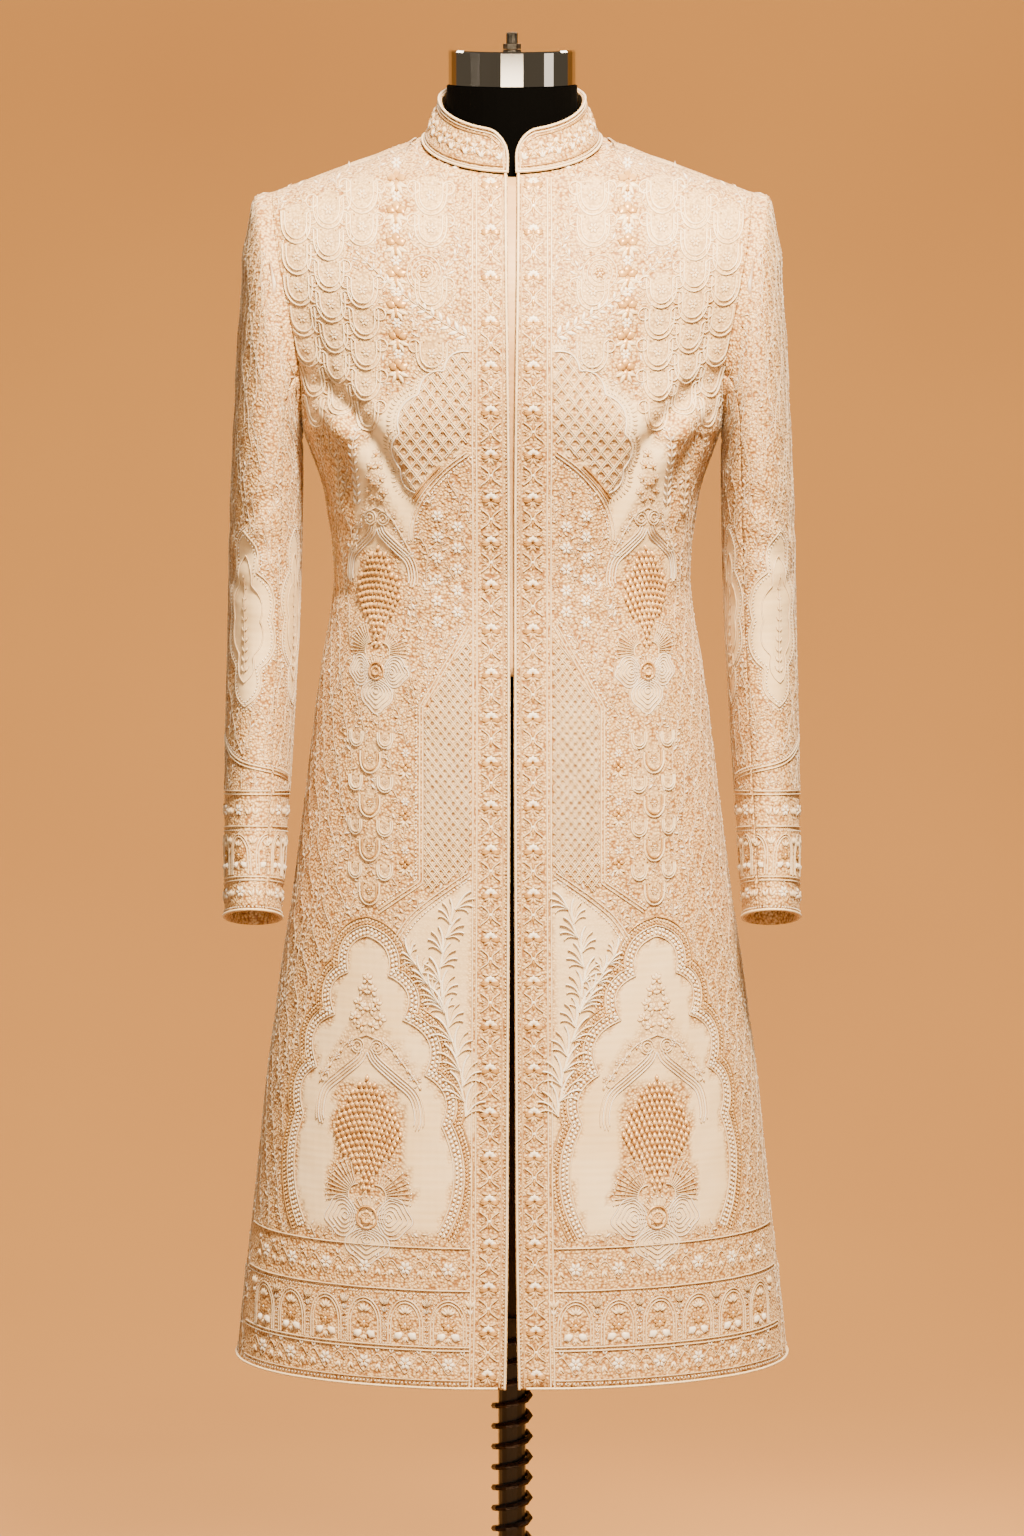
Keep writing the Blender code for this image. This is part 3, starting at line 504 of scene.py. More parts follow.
def ripple(points, size_mm, depth):
    """Small uneven puckers made of a few crossing waves."""
    p = points * 1000 / size_mm
    wave = np.sin(p[..., 0] * 2.1 + 1.3 * np.sin(p[..., 2] * 1.1)) * np.sin(p[..., 2] * 1.7 + p[..., 1])
    wave += 0.6 * np.sin(p[..., 0] * 3.7 - p[..., 2] * 2.9 + p[..., 1] * 1.5)
    return wave * depth


PUCKER_MM = 21
PUCKER_DEPTH_MM = 0.28
HOLD_COLUMNS = 6             # columns beside a seam over which the creases grow


def creased(points, normals, chart, table, seam_columns, flutes=True):
    """Grid moved in by its creases, left in place at the seams it shares."""
    depth = crease_depth(chart, table) + ripple(points, PUCKER_MM, PUCKER_DEPTH_MM)
    width = points.shape[1]
    column = np.arange(width)
    hold = np.ones(width)
    for seam in seam_columns:
        hold = np.minimum(hold, np.clip(np.abs(column - seam) / HOLD_COLUMNS, 0, 1))
    depth = depth * hold
    if flutes:
        depth = depth - flute_depth(points)
    return points - normals * (depth * MM)[..., None]


def row_lengths(points):
    """Length along each row from its first point, in metres."""
    step = np.linalg.norm(np.diff(points, axis=1), axis=-1)
    return np.concatenate((np.zeros((len(points), 1)), np.cumsum(step, axis=1)), axis=1)


def body_chart(points, centre_column):
    """Flat pattern: mm across from the centre line, and mm above the hem."""
    length = row_lengths(points)
    if centre_column:
        length = length[:, -1:] - length
    across = (length + points[:, centre_column, 0][:, None]) * 1000
    return np.stack((across, (points[..., 2] - hem_z) * 1000), axis=-1)


front_chart = body_chart(front_flat, 0)
back_chart = body_chart(back_flat, -1)
CUFF_TILT_REACH = 0.25
HOLD_ROWS = 6                # rows at the armhole that stay where the seam is
cuff_z = SLEEVE["inner_z"][-1]
sleeve_length = row_lengths(sleeve_flat)
outer_column = SLEEVE_COLUMNS // 2
sleeve_across = (sleeve_length - sleeve_length[:, outer_column][:, None]) * 1000
cuff_line = sleeve_flat[-1, :, 2]
sleeve_chart = np.stack((sleeve_across, (sleeve_flat[..., 2] - cuff_z) * 1000), axis=-1)
tilt = (cuff_line - cuff_z)[None] * np.clip(1 - (sleeve_flat[..., 2] - cuff_z) / CUFF_TILT_REACH, 0, 1)
sleeve_chart[..., 1] -= tilt * 1000
collar_length = row_lengths(collar_flat)
collar_chart = np.stack((np.tile(collar_length[0], (len(collar_flat), 1)) * 1000,
                         (collar_flat[..., 2] - collar_flat[0, :, 2]) * 1000), axis=-1)

front_normals = grid_normals(front_flat)
back_normals = grid_normals(back_flat)
sleeve_normals = grid_normals(sleeve_flat)
sleeve_normals[:, 0] = sleeve_normals[:, -1] = unit(sleeve_normals[:, 0] + sleeve_normals[:, -1])
collar_normals = grid_normals(collar_flat)
side = slice(0, BODY_ROWS - 1)
shared = unit(front_normals[side, -1] + back_normals[side, 0])
front_normals[side, -1] = shared
back_normals[side, 0] = shared
ridge = unit(front_normals[-1].mean(axis=0) + back_normals[-1].mean(axis=0))
front_normals[-1] = ridge
back_normals[-1] = ridge

front_cloth = creased(front_flat, front_normals, front_chart, FRONT_CREASES, [PANEL_COLUMNS - 1])
back_cloth = creased(back_flat, back_normals, back_chart, BACK_CREASES, [0])
sleeve_cloth = creased(sleeve_flat, sleeve_normals, sleeve_chart, SLEEVE_CREASES, [0, SLEEVE_COLUMNS], False)
sleeve_cloth[:HOLD_ROWS] = sleeve_flat[:HOLD_ROWS]
print("deepest front crease mm:", round(float(crease_depth(front_chart, FRONT_CREASES).max()), 2))

# %% [markdown]
# ## Sewing on the flat pattern
# An embroiderer works on flat cloth and the panel is sewn up afterwards.  Here each panel keeps a
# fine table from its flat pattern, in mm across and up, to its place and its outward direction.
# Motifs are drawn flat and the table carries them onto the worn shape.  The table also knows how
# far a point is from the panel's edge, and which places are already taken.

# %% The panel
CELL_MM = 2.0
EDGE_MM = 6.0


class Panel:
    """A cut piece of cloth with its flat pattern and the embroidery sewn onto it."""

    def __init__(self, name, points, normals, chart, seed):
        self.name, self.points, self.normals, self.chart = name, points, normals, chart
        self.random = np.random.default_rng(seed)
        self.sewn = {thread: [] for thread in THREADS}
        self.low = chart.reshape(-1, 2).min(axis=0) - EDGE_MM
        high = chart.reshape(-1, 2).max(axis=0) + EDGE_MM
        self.count = np.ceil((high - self.low) / CELL_MM).astype(int) + 1
        self.cells = self.low + CELL_MM * np.stack(np.meshgrid(
            np.arange(self.count[0]), np.arange(self.count[1]), indexing="ij"), axis=-1)
        self.busy = np.zeros(tuple(self.count), bool)
        self.plain = np.zeros(tuple(self.count))
        self.read_pattern()

    def read_pattern(self):
        """Fill the table: place, direction and distance to the edge at each cell."""
        rows, columns = self.chart.shape[:2]
        index = np.arange(rows * columns).reshape(rows, columns)
        a, b, c, d = index[:-1, :-1], index[:-1, 1:], index[1:, 1:], index[1:, :-1]
        halves = (np.stack((a, b, c), -1).reshape(-1, 3), np.stack((a, c, d), -1).reshape(-1, 3))
        triangles = np.concatenate(halves)
        flat = self.chart.reshape(-1, 2)
        tree = BVHTree.FromPolygons([(u, v, 0.0) for u, v in flat.tolist()], triangles.tolist())
        rim = flat[np.concatenate((index[0], index[1:, -1], index[-1, ::-1], index[::-1, 0]))]
        rim = np.concatenate([rim[:-1] + (rim[1:] - rim[:-1]) * t for t in np.arange(0, 1, 0.25)])
        edge = KDTree(len(rim))
        for i, (u, v) in enumerate(rim.tolist()):
            edge.insert((u, v, 0.0), i)
        edge.balance()
        spots = self.cells.reshape(-1, 2)
        found = [tree.find_nearest((u, v, 0.0))[2:] for u, v in spots.tolist()]
        to_edge = np.array([edge.find((u, v, 0.0))[2] for u, v in spots.tolist()])
        hit = np.array([f[0] for f in found])
        outside = np.array([f[1] for f in found])
        margin = np.where(outside > 1e-3, -outside, to_edge)
        first, second, third = (flat[triangles[hit, i]] for i in range(3))
        e1, e2, w = second - first, third - first, spots - first
        det = e1[:, 0] * e2[:, 1] - e1[:, 1] * e2[:, 0]
        det = np.where(np.abs(det) < 1e-9, 1e-9, det)
        s = np.clip((w[:, 0] * e2[:, 1] - w[:, 1] * e2[:, 0]) / det, -4, 5)
        t = np.clip((e1[:, 0] * w[:, 1] - e1[:, 1] * w[:, 0]) / det, -4, 5)
        weights = np.stack((1 - s - t, s, t), axis=-1)[..., None]
        place = (self.points.reshape(-1, 3)[triangles[hit]] * weights).sum(axis=1)
        direction = unit((self.normals.reshape(-1, 3)[triangles[hit]] * weights).sum(axis=1))
        table = np.concatenate((place, direction, margin[:, None]), axis=1)
        self.table = table.reshape(*self.count, 7)
        i, j = (int(n) for n in np.array(np.unravel_index(np.argmax(self.table[..., 6]), tuple(self.count))))
        across = self.table[i + 1, j, :3] - self.table[i, j, :3]
        up = self.table[i, j + 1, :3] - self.table[i, j, :3]
        self.flipped = float(np.dot(np.cross(across, up), self.table[i, j, 3:6])) < 0

    def read(self, spots):
        """Table values between the cells."""
        where = np.clip((spots - self.low) / CELL_MM, 0, self.count - 1.001)
        i = where.astype(int)
        t = where - i
        a, b, share = i[..., 0], i[..., 1], t[..., :1]
        near = self.table[a, b] * (1 - share) + self.table[a + 1, b] * share
        far = self.table[a, b + 1] * (1 - share) + self.table[a + 1, b + 1] * share
        return near * (1 - t[..., 1:]) + far * t[..., 1:]

    def margin(self, spots):
        """How far inside the panel each spot is, in mm."""
        return self.read(np.asarray(spots, float))[..., 6]

    def free(self, spots):
        """Whether nothing is sewn at each spot yet."""
        i = np.clip(np.rint((np.asarray(spots) - self.low) / CELL_MM).astype(int), 0, self.count - 1)
        return ~self.busy[i[..., 0], i[..., 1]]

    def claim(self, outline, plain=0.0):
        """Mark the inside of an outline as taken; plain is how bare its ground is."""
        taken = inside(outline, self.cells)
        self.busy |= taken
        self.plain[taken] = plain

    def claim_spots(self, spots, radius, plain=None):
        """Mark discs round spots as taken, and set how bare their ground is."""
        reach = int(math.ceil(radius / CELL_MM))
        centre = np.rint((np.asarray(spots, float).reshape(-1, 2) - self.low) / CELL_MM).astype(int)
        for di in range(-reach, reach + 1):
            for dj in range(-reach, reach + 1):
                if math.hypot(di, dj) * CELL_MM <= radius:
                    i = np.clip(centre + (di, dj), 0, self.count - 1)
                    self.busy[i[:, 0], i[:, 1]] = True
                    if plain is not None:
                        self.plain[i[:, 0], i[:, 1]] = plain

    def sew(self, thread, vertices, faces):
        """Keep a motif: vertices in mm across, up and proud of the cloth."""
        self.sewn[thread].append((vertices.reshape(-1, 3), faces))


def inside(outline, spots):
    """Even-odd test of spots against a closed outline."""
    outline = np.asarray(outline, float)
    x, y = spots[..., 0], spots[..., 1]
    result = np.zeros(x.shape, bool)
    for (x0, y0), (x1, y1) in zip(outline, np.roll(outline, -1, axis=0)):
        if y0 != y1:
            crosses = (y0 > y) != (y1 > y)
            result ^= crosses & (x < (x1 - x0) * (y - y0) / (y1 - y0) + x0)
    return result


# %% [markdown]
# ## A small kit of stitches
# Everything on the coat is one of a few things: a couched cord, a padded satin leaf or petal, a
# bead or a French knot.  Each is one small shape stamped many times as arrays, so that a panel
# of several thousand stitches is still a single light mesh.

# %% Stitches
def fan(ring, centre_height, base_height=-0.15):
    """Low dome over a ring of (across, up) points."""
    ring = np.asarray(ring, float)
    count = len(ring)
    low_ring = np.column_stack((ring, np.full(count, base_height)))
    vertices = np.vstack((low_ring, (*ring.mean(axis=0), centre_height)))
    faces = [(i, (i + 1) % count, count) for i in range(count)]
    return vertices, np.array(faces)


def leaf(width, height, fullest=0.42):
    """Padded satin leaf of length one along +across, from its stalk at the origin."""
    side = ((0.0, 0.0), (0.16, 0.55), (fullest, 1.0), (0.74, 0.62), (1.0, 0.0))
    outline = [(x, -w * width / 2) for x, w in side] + [(x, w * width / 2) for x, w in side[-2:0:-1]]
    rim = np.column_stack((np.array(outline), np.full(len(outline), -0.02)))
    ridge = np.array(((0.26, 0.0, height), (0.62, 0.0, height * 0.9)))
    vertices = np.vstack((rim, ridge))
    a, b = len(outline), len(outline) + 1
    faces = [(0, 1, a), (1, 2, a), (2, b, a), (2, 3, b), (3, 4, b),
             (4, 5, b), (5, 6, b), (6, a, b), (6, 7, a), (7, 0, a)]
    return vertices, np.array(faces)


CORD_FULLNESS = 1.15
CORD_RISE = 1.35
KNOT = fan([(math.cos(t), math.sin(t)) for t in np.arange(5) * math.tau / 5], 0.95)
BEAD = fan([(math.cos(t), math.sin(t)) for t in np.arange(7) * math.tau / 7], 1.15)
LEAF = leaf(0.38, 0.20)
SMALL_LEAF_POINTS = ((0, 0, 0), (0.28, -0.15, 0), (0.68, -0.13, 0), (1, 0, 0), (0.68, 0.13, 0),
                     (0.28, 0.15, 0), (0.48, 0, 0.20))
SMALL_LEAF = (np.array(SMALL_LEAF_POINTS), np.array([(i, (i + 1) % 6, 6) for i in range(6)]))
BROAD_LEAF = leaf(0.62, 0.24, 0.55)
PETAL = leaf(0.80, 0.28, 0.62)
TEARDROP = leaf(0.66, 0.40, 0.60)


def stamp(panel, thread, shape, spots, turns=0.0, sizes=1.0, margin=1.2, lift=0.0):
    """Sew one shape at many spots, turned by degrees and sized in mm."""
    spots = np.asarray(spots, float).reshape(-1, 2)
    turns = np.radians(np.broadcast_to(turns, len(spots)))
    sizes = np.broadcast_to(np.asarray(sizes, float), len(spots))
    keep = panel.margin(spots) > margin
    spots, turns, sizes = spots[keep], turns[keep], sizes[keep]
    if not len(spots):
        return
    vertices, faces = shape
    scaled = vertices[None] * sizes[:, None, None]
    cos, sin = np.cos(turns)[:, None], np.sin(turns)[:, None]
    placed = np.stack((
        spots[:, :1] + scaled[..., 0] * cos - scaled[..., 1] * sin,
        spots[:, 1:] + scaled[..., 0] * sin + scaled[..., 1] * cos,
        scaled[..., 2] + lift), axis=-1)
    steps = np.arange(len(spots))[:, None, None] * len(vertices)
    panel.sew(thread, placed, (faces[None] + steps).reshape(-1, 3))


def resample(path, step):
    """Path with evenly spaced points, about one each step mm."""
    path = np.asarray(path, float)
    length = np.concatenate(((0,), np.cumsum(np.linalg.norm(np.diff(path, axis=0), axis=1))))
    count = max(int(round(length[-1] / step)), 1) + 1
    wanted = np.linspace(0, length[-1], count)
    return np.column_stack((np.interp(wanted, length, path[:, 0]), np.interp(wanted, length, path[:, 1])))


def curve(points, per_span=8, closed=False):
    """Smooth path through a few points."""
    p = np.asarray(points, float)
    p = np.vstack((p[-1], p, p[:2])) if closed else np.vstack((2 * p[0] - p[1], p, 2 * p[-1] - p[-2]))
    t = np.linspace(0, 1, per_span, endpoint=False)[:, None]
    spans = []
    for a, b, c, d in zip(p[:-3], p[1:-2], p[2:-1], p[3:]):
        spans.append(0.5 * (2 * b + (c - a) * t + (2 * a - 5 * b + 4 * c - d) * t ** 2
                            + (3 * b - a - 3 * c + d) * t ** 3))
    return np.vstack(spans + [p[-2][None]])


def arc(centre, across, up, start, end, count=9):
    """Part of an ellipse, in degrees."""
    turn = np.radians(np.linspace(start, end, count))
    return np.column_stack((centre[0] + across * np.cos(turn), centre[1] + up * np.sin(turn)))


def beside(path, offset):
    """The path moved sideways by offset mm, to its left when positive."""
    path = np.asarray(path, float)
    along = unit(np.gradient(path, axis=0))
    return path + np.column_stack((-along[:, 1], along[:, 0])) * offset


def unbroken(kept, least):
    """Runs of at least so many neighbouring points that are kept, as their numbers."""
    runs = np.split(np.arange(len(kept)), np.nonzero(np.diff(kept.astype(int)))[0] + 1)
    return [run for run in runs if kept[run[0]] and len(run) >= least]


def couch(panel, thread, path, width=1.5, height=1.0, step=3.0, margin=0.9, offsets=(0.0,)):
    """Lay cords along a path, cut where it leaves the panel."""
    for offset in offsets:
        line = resample(beside(path, offset) if offset else path, step)
        inside_panel = panel.margin(line) > margin
        across = unit(np.gradient(line, axis=0))[:, ::-1] * (-1, 1) * width * CORD_FULLNESS / 2
        rise = height * CORD_RISE
        shape = np.stack((
            np.column_stack((line - across, np.full(len(line), -0.15))),
            np.column_stack((line, np.full(len(line), rise))),
            np.column_stack((line + across, np.full(len(line), -0.15)))), axis=1)
        span = np.nonzero(inside_panel[:-1] & inside_panel[1:])[0]
        a = span[:, None] * 3
        quads = np.concatenate((np.hstack((a, a + 3, a + 4)), np.hstack((a, a + 4, a + 1)),
                                np.hstack((a + 1, a + 4, a + 5)), np.hstack((a + 1, a + 5, a + 2))))
        if len(quads):
            panel.sew(thread, shape, quads)


def string_beads(panel, thread, path, pitch=3.0, size=1.2):
    """Beads in a row along a path."""
    stamp(panel, thread, BEAD, resample(path, pitch), 0.0, size)


def circle(centre, radius, count, end=360):
    """Round line, or the part of one up to the end angle."""
    return arc(centre, radius, radius, 0, end, count)


def mirrored(half, centre=0.0):
    """Closed outline from its right half, top or foot first, given as (out from the centre, up)."""
    return [(centre + out, v) for out, v in half] + [(centre - out, v) for out, v in half[-2:0:-1]]


def pearl_edge(panel, path, beads, reach, pearls=(3.2, 1.2)):
    """Pearls beside a cord, and the cord's ground kept clear of the filling."""
    for offset in beads:
        string_beads(panel, "pearl", beside(path, offset), *pearls)
    panel.claim_spots(resample(path, 2.0), reach)


def floret(panel, centre, radius, petals=6, thread="white", middle="gold"):
    """Small flower: padded petals round a bead."""
    turns = np.arange(petals) * 360 / petals
    spots = np.tile(np.asarray(centre, float), (petals, 1))
    stamp(panel, thread, BROAD_LEAF, spots, turns, radius, margin=radius)
    stamp(panel, middle, BEAD, [centre], 0.0, radius * 0.26, margin=radius, lift=0.3)


print("stitch kit:", "knot, bead, leaf, petal, teardrop, cord")

# %% [markdown]
# ## The designs
# The coat's design is built from a short list of figures: a placket border of florets and
# crossed curls, three borders at the hem, fish scales on the chest, two diamond lattices, plumes
# of acanthus, and two medallions, one at the waist and a larger one in an ogee at the hem.  Each is a
# function that takes its own sizes, so that the back and the sleeves can use it again.

# %% Borders
PLACKET_PITCH = 19.5
PLACKET_CENTRE = 17.0
PLACKET_LINES = (29.5, 33.0)
BOW = ((8.5, -8.5), (2.2, -3.5), (1.4, 0), (2.2, 3.5), (8.5, 8.5))


def edge_line(offset, low, high):
    """Line beside the front opening, offset mm from its edge."""
    v = np.arange(low, high, 6.0)
    z = hem_z + v * MM
    opening = smooth_read(BODY["height"], BODY["opening"], z) * 1000
    return np.column_stack((opening + offset, v))


def placket(panel, low, high):
    """Border along the front opening: cords, pearls and two motifs in turn."""
    for offset in PLACKET_LINES:
        couch(panel, "cream", edge_line(offset, low, high), 1.7, 1.0)
    couch(panel, "tan", edge_line(6.4, low, high), 1.2, 0.8)
    string_beads(panel, "bead", edge_line(3.6, low, high), 3.3, 1.25)
    panel.claim([(0, low), (36, low), (36, high), (0, high)])
    for count, v in enumerate(np.arange(low + 12, high, PLACKET_PITCH)):
        u = edge_line(PLACKET_CENTRE, v, v + 1)[0, 0]
        if count % 2:
            for side in (-1, 1):
                bow = [(u + side * out, v + up) for out, up in BOW]
                couch(panel, "cream", curve(bow, 4), 1.5, 1.0, 2.2)
                stamp(panel, "tan", LEAF, [(u + side * 3.5, v)] * 3,
                      np.array((-38, 0, 38)) + (90 - 90 * side), 6.0)
            stamp(panel, "gold", LEAF, [(u, v)] * 2, (90, 270), 8.5)
            stamp(panel, "pearl", BEAD, [(u, v)], 0, 2.0)
        else:
            stamp(panel, "gold", BROAD_LEAF, [(u, v - 2.5)] * 4, (8, -8, 172, 188), 9.5)
            stamp(panel, "white", PETAL, [(u, v - 1)] * 5, (20, 55, 90, 125, 160), 6.5)
            stamp(panel, "tan", LEAF, [(u, v - 4)] * 4, (-25, -65, -115, -155), 8.0)
            stamp(panel, "tan", LEAF, [(u, v + 4)] * 2, (15, 165), 9.0)
            stamp(panel, "gold", BEAD, [(u, v)], 0, 1.7, lift=0.6)
            stamp(panel, "pearl", KNOT, [(u - 9.5, v + 4), (u + 9.5, v + 4)], 0, 1.0)


HEM_LINES = (36.0, 88.0, 126.0)
ARCH_PITCH = 39.0
VINE = ((-19.5, 0), (-13, 7), (-6.5, 0), (0, -9), (6.5, 0), (13, 7), (19.5, 0))


def hem_borders(panel, start, end):
    """Three borders across the hem: leaves, arches with rosettes, and a flower vine."""
    for height, offsets in zip(HEM_LINES, ((-1.6, 1.6), (0.0,), (0.0,))):
        couch(panel, "cream", [(start, height), (end, height)], 1.7, 1.0, 4.0, offsets=offsets)
    string_beads(panel, "pearl", [(start, 5.0), (end, 5.0)], 3.6, 1.2)
    couch(panel, "cream", [(start, 8.0), (end, 8.0)], 1.2, 0.8, 4.0)
    string_beads(panel, "pearl", [(start, 84.4), (end, 84.4)], 3.6, 1.1)
    panel.claim([(start, 0), (end, 0), (end, 128), (start, 128)])
    for u in np.arange(start + ARCH_PITCH / 2, end, ARCH_PITCH):
        arch = np.vstack(([(u - 16, 39)], arc((u, 56), 16, 23, 180, 0, 13), [(u + 16, 39)]))
        couch(panel, "cream", arch, 1.5, 0.9, 3.0, offsets=(0.0, -2.6))
        string_beads(panel, "pearl", beside(arch, 2.6), 3.4, 1.0)
        floret(panel, (u, 57), 7.0, 8, "gold", "white")
        stamp(panel, "white", PETAL, [(u - 2, 49), (u + 2, 49)], (210, -30), 11.0)
        stamp(panel, "cream", LEAF, [(u, 66)] * 5, (30, 60, 90, 120, 150), 9.0)
        stamp(panel, "cream", LEAF, [(u, 46)] * 3, (-60, -90, -120), 7.0)
        for side in (-1, 1):
            stamp(panel, "cream", LEAF, [(u + side * 19.5, 72)] * 3, (60, 90, 120), 11.0)
            stamp(panel, "white", LEAF, [(u + side * 19.5, 66)] * 2, (70, 110), 7.0)
        stamp(panel, "gold", BEAD, [(u + 19.5, 63)], 0, 1.8)
        for row in (22, 107):
            floret(panel, (u, row), 7.5, 6, "white", "gold")
            vine = [(u + aside, row + up) for aside, up in VINE]
            couch(panel, "cream", curve(vine, 4), 1.1, 0.7, 2.6)
            stamp(panel, "cream", LEAF, [(u - 14, row - 1), (u + 14, row - 1)] * 2, (-60, -120, -100, -80),
                  8.5)
            stamp(panel, "white", LEAF, [(u - 13, row + 8), (u + 13, row + 8)] * 2, (60, 120, 110, 70), 6.0)
            stamp(panel, "gold", BEAD, [(u + 19.5, row + 3)], 0, 1.7)
            stamp(panel, "pearl", KNOT, [(u + 19.5, row - 6), (u + 8, row + 9), (u - 8, row + 9)], 0, 1.2)


# %% Scales, lattice and sprays
def scale(panel, centre, radius, gold=False):
    """One fish scale: nested U cords, open upwards, round a small flower."""
    u, v = centre
    for step, share in enumerate((1.0, 0.74)):
        r = radius * share
        bow = np.vstack(([(u - r, v + radius * 0.75)], arc((u, v), r, r * 1.1, 180, 360, 9),
                         [(u + r, v + radius * 0.75)]))
        couch(panel, "gold" if gold and step == 1 else "cream", bow, 1.8, 1.3, 2.6)
    floret(panel, (u, v + 0.5), radius * 0.40, 6, "cream", "gold")
    stamp(panel, "gold", KNOT, [(u - radius * 0.5, v + radius * 0.72),
                                (u + radius * 0.5, v + radius * 0.72)], 0, 1.1)
    panel.claim(arc((u, v), radius + 1.5, radius * 1.15 + 1.5, 0, 360, 13), 0.40)


def scale_field(panel, columns, low, high, pitch, radius):
    """Columns of scales, every second one half a step higher."""
    for number, u in enumerate(columns):
        for v in np.arange(low + (number % 2) * pitch / 2, high, pitch):
            spot = np.array((u, v))
            if panel.margin(spot) > radius * 0.6 and panel.free(spot):
                if number % 4 == 1:
                    stamp(panel, "gold", PETAL, [spot] * 4, (20, 90, 160, 270), radius * 0.75)
                    floret(panel, spot + (0, radius * 0.9), radius * 0.42, 6, "white", "gold")
                    stamp(panel, "cream", LEAF, [spot - (0, radius * 0.2)] * 4, (-20, -60, -120, -160),
                          radius * 0.9)
                    panel.claim_spots(spot, radius)
                else:
                    scale(panel, spot, radius)
                    for side in (-1, 1):
                        between = spot + (side * pitch * 0.58, pitch * 0.25)
                        if panel.free(between) and panel.margin(between) > 8:
                            couch(panel, "cream", circle(between, 5.6, 13), 1.5, 1.1, 2.4)
                            floret(panel, between, 3.4, 5, "cream", "gold")
                            panel.claim_spots([between], 6.0)


def lattice(panel, outline, cell, plain=0.45):
    """Diamond net of double cords inside an outline, with a ringed knot in each diamond."""
    outline = np.asarray(outline, float)
    low, high = outline.min(axis=0), outline.max(axis=0)
    reach = (high - low).sum()
    panel.claim(outline, plain)
    for lean in (-1, 1):
        for start in np.arange(-reach, reach, cell):
            u = np.arange(0, high[0] - low[0], 1.5)
            line = np.column_stack((low[0] + u, (low[1] + high[1]) / 2 + start + lean * u * 1.25))
            for run in unbroken(inside(outline, line), 3):
                couch(panel, "cream", line[run], 0.9 + cell * 0.04, 1.0, 3.6, offsets=(-0.8, 0.8))
    middle = (low[0], (low[1] + high[1]) / 2)
    half = cell / 2
    across = half / 1.25
    i, j = np.meshgrid(np.arange(0, 40), np.arange(-60, 60))
    spots = np.stack((middle[0] + i * across, middle[1] + j * cell + half * ((i + 1) % 2)),
                     axis=-1).reshape(-1, 2)
    spots = spots[inside(outline, spots)]
    if cell > 11:
        turns = np.arange(6) * 60.0
        stamp(panel, "cream", LEAF, np.repeat(spots, 6, axis=0), np.tile(turns, len(spots)), cell * 0.22)
    stamp(panel, "gold", KNOT, spots, 0, cell * 0.10 + 0.7, lift=0.3)


def lobed(points, bulge=0.35, count=7):
    """Chain of outward arcs through the cusps of an outline, given anticlockwise."""
    points = np.asarray(points, float)
    chain = []
    for a, b, full in zip(points[:-1], points[1:], np.broadcast_to(bulge, len(points) - 1)):
        t = np.linspace(0, 1, count, endpoint=False)[:, None]
        out = np.array(((b - a)[1], -(b - a)[0]))
        chain.append(a + (b - a) * t + out * full * 4 * t * (1 - t) * 0.5)
    return np.vstack(chain + [points[-1:]])


def spray(panel, root, turn, length, leaves=7, thread="white", size=9.0, bend=0.0):
    """Feathery stem with paired leaves that shorten to its tip."""
    t = np.linspace(0, 1, 9)
    angle = np.radians(turn + bend * t)
    step = length / 8
    moves = np.column_stack((np.cos(angle[:-1]), np.sin(angle[:-1]))) * step
    line = np.vstack((root, np.asarray(root) + np.cumsum(moves, axis=0)))
    couch(panel, "cream", line, 1.2, 0.8, 3.0)
    places = resample(line, length / leaves)[:-1]
    heading = np.degrees(np.interp(np.linspace(0, 1, len(places)), t, angle))
    sizes = size * np.linspace(1.0, 0.55, len(places))
    for side in (-1, 1):
        stamp(panel, thread, LEAF, places, heading + side * 42, sizes)
    stamp(panel, thread, LEAF, [line[-1]], math.degrees(angle[-1]), size * 0.6)
    panel.claim_spots(resample(line, 3.0), size * 0.55)


# The columns are share of the tuft's size, lean and hook, in degrees.
TUFT_STRANDS = ((1.0, 14, 52), (0.90, 30, 66), (0.76, 47, 80), (0.58, 66, 96))


def acanthus(panel, points, size):
    """Plume: tufts of long hooked strands that sweep up both sides of a stem."""
    stem = curve(points, 6)
    couch(panel, "cream", stem, 1.8, 1.3, 2.6)
    roots = resample(stem, size * 0.42)
    heading = np.degrees(np.arctan2(np.gradient(roots[:, 1]), np.gradient(roots[:, 0])))
    for number, (root, turn) in enumerate(zip(roots, heading)):
        side = -1 if number % 2 else 1
        grow = size * (1.0 - 0.30 * number / len(roots))
        for strand, (reach, lean, hook) in enumerate(TUFT_STRANDS):
            t = np.linspace(0, 1, 7)
            way = np.radians(turn + side * (lean - 8 + hook * t ** 2))
            moves = np.cumsum(np.column_stack((np.cos(way), np.sin(way)))[:-1], axis=0)
            blade = root + np.vstack(((0, 0), moves * grow * reach / 6))
            thread = "cream" if strand % 2 else "white"
            couch(panel, thread, blade, 2.3 - 0.2 * strand, 1.7 - 0.15 * strand, 2.4)
    panel.claim_spots(roots, size * 0.55)


# %% Medallions
DROP_PITCH = 4.9
CONE_SHARES = (0.0, 0.1, 0.2, 0.3, 0.4, 0.5, 0.6, 0.7, 0.8, 0.9, 1.0)
CONE_WIDTHS = (0.08, 0.16, 0.34, 0.58, 0.80, 0.95, 1.0, 0.93, 0.72, 0.42, 0.10)


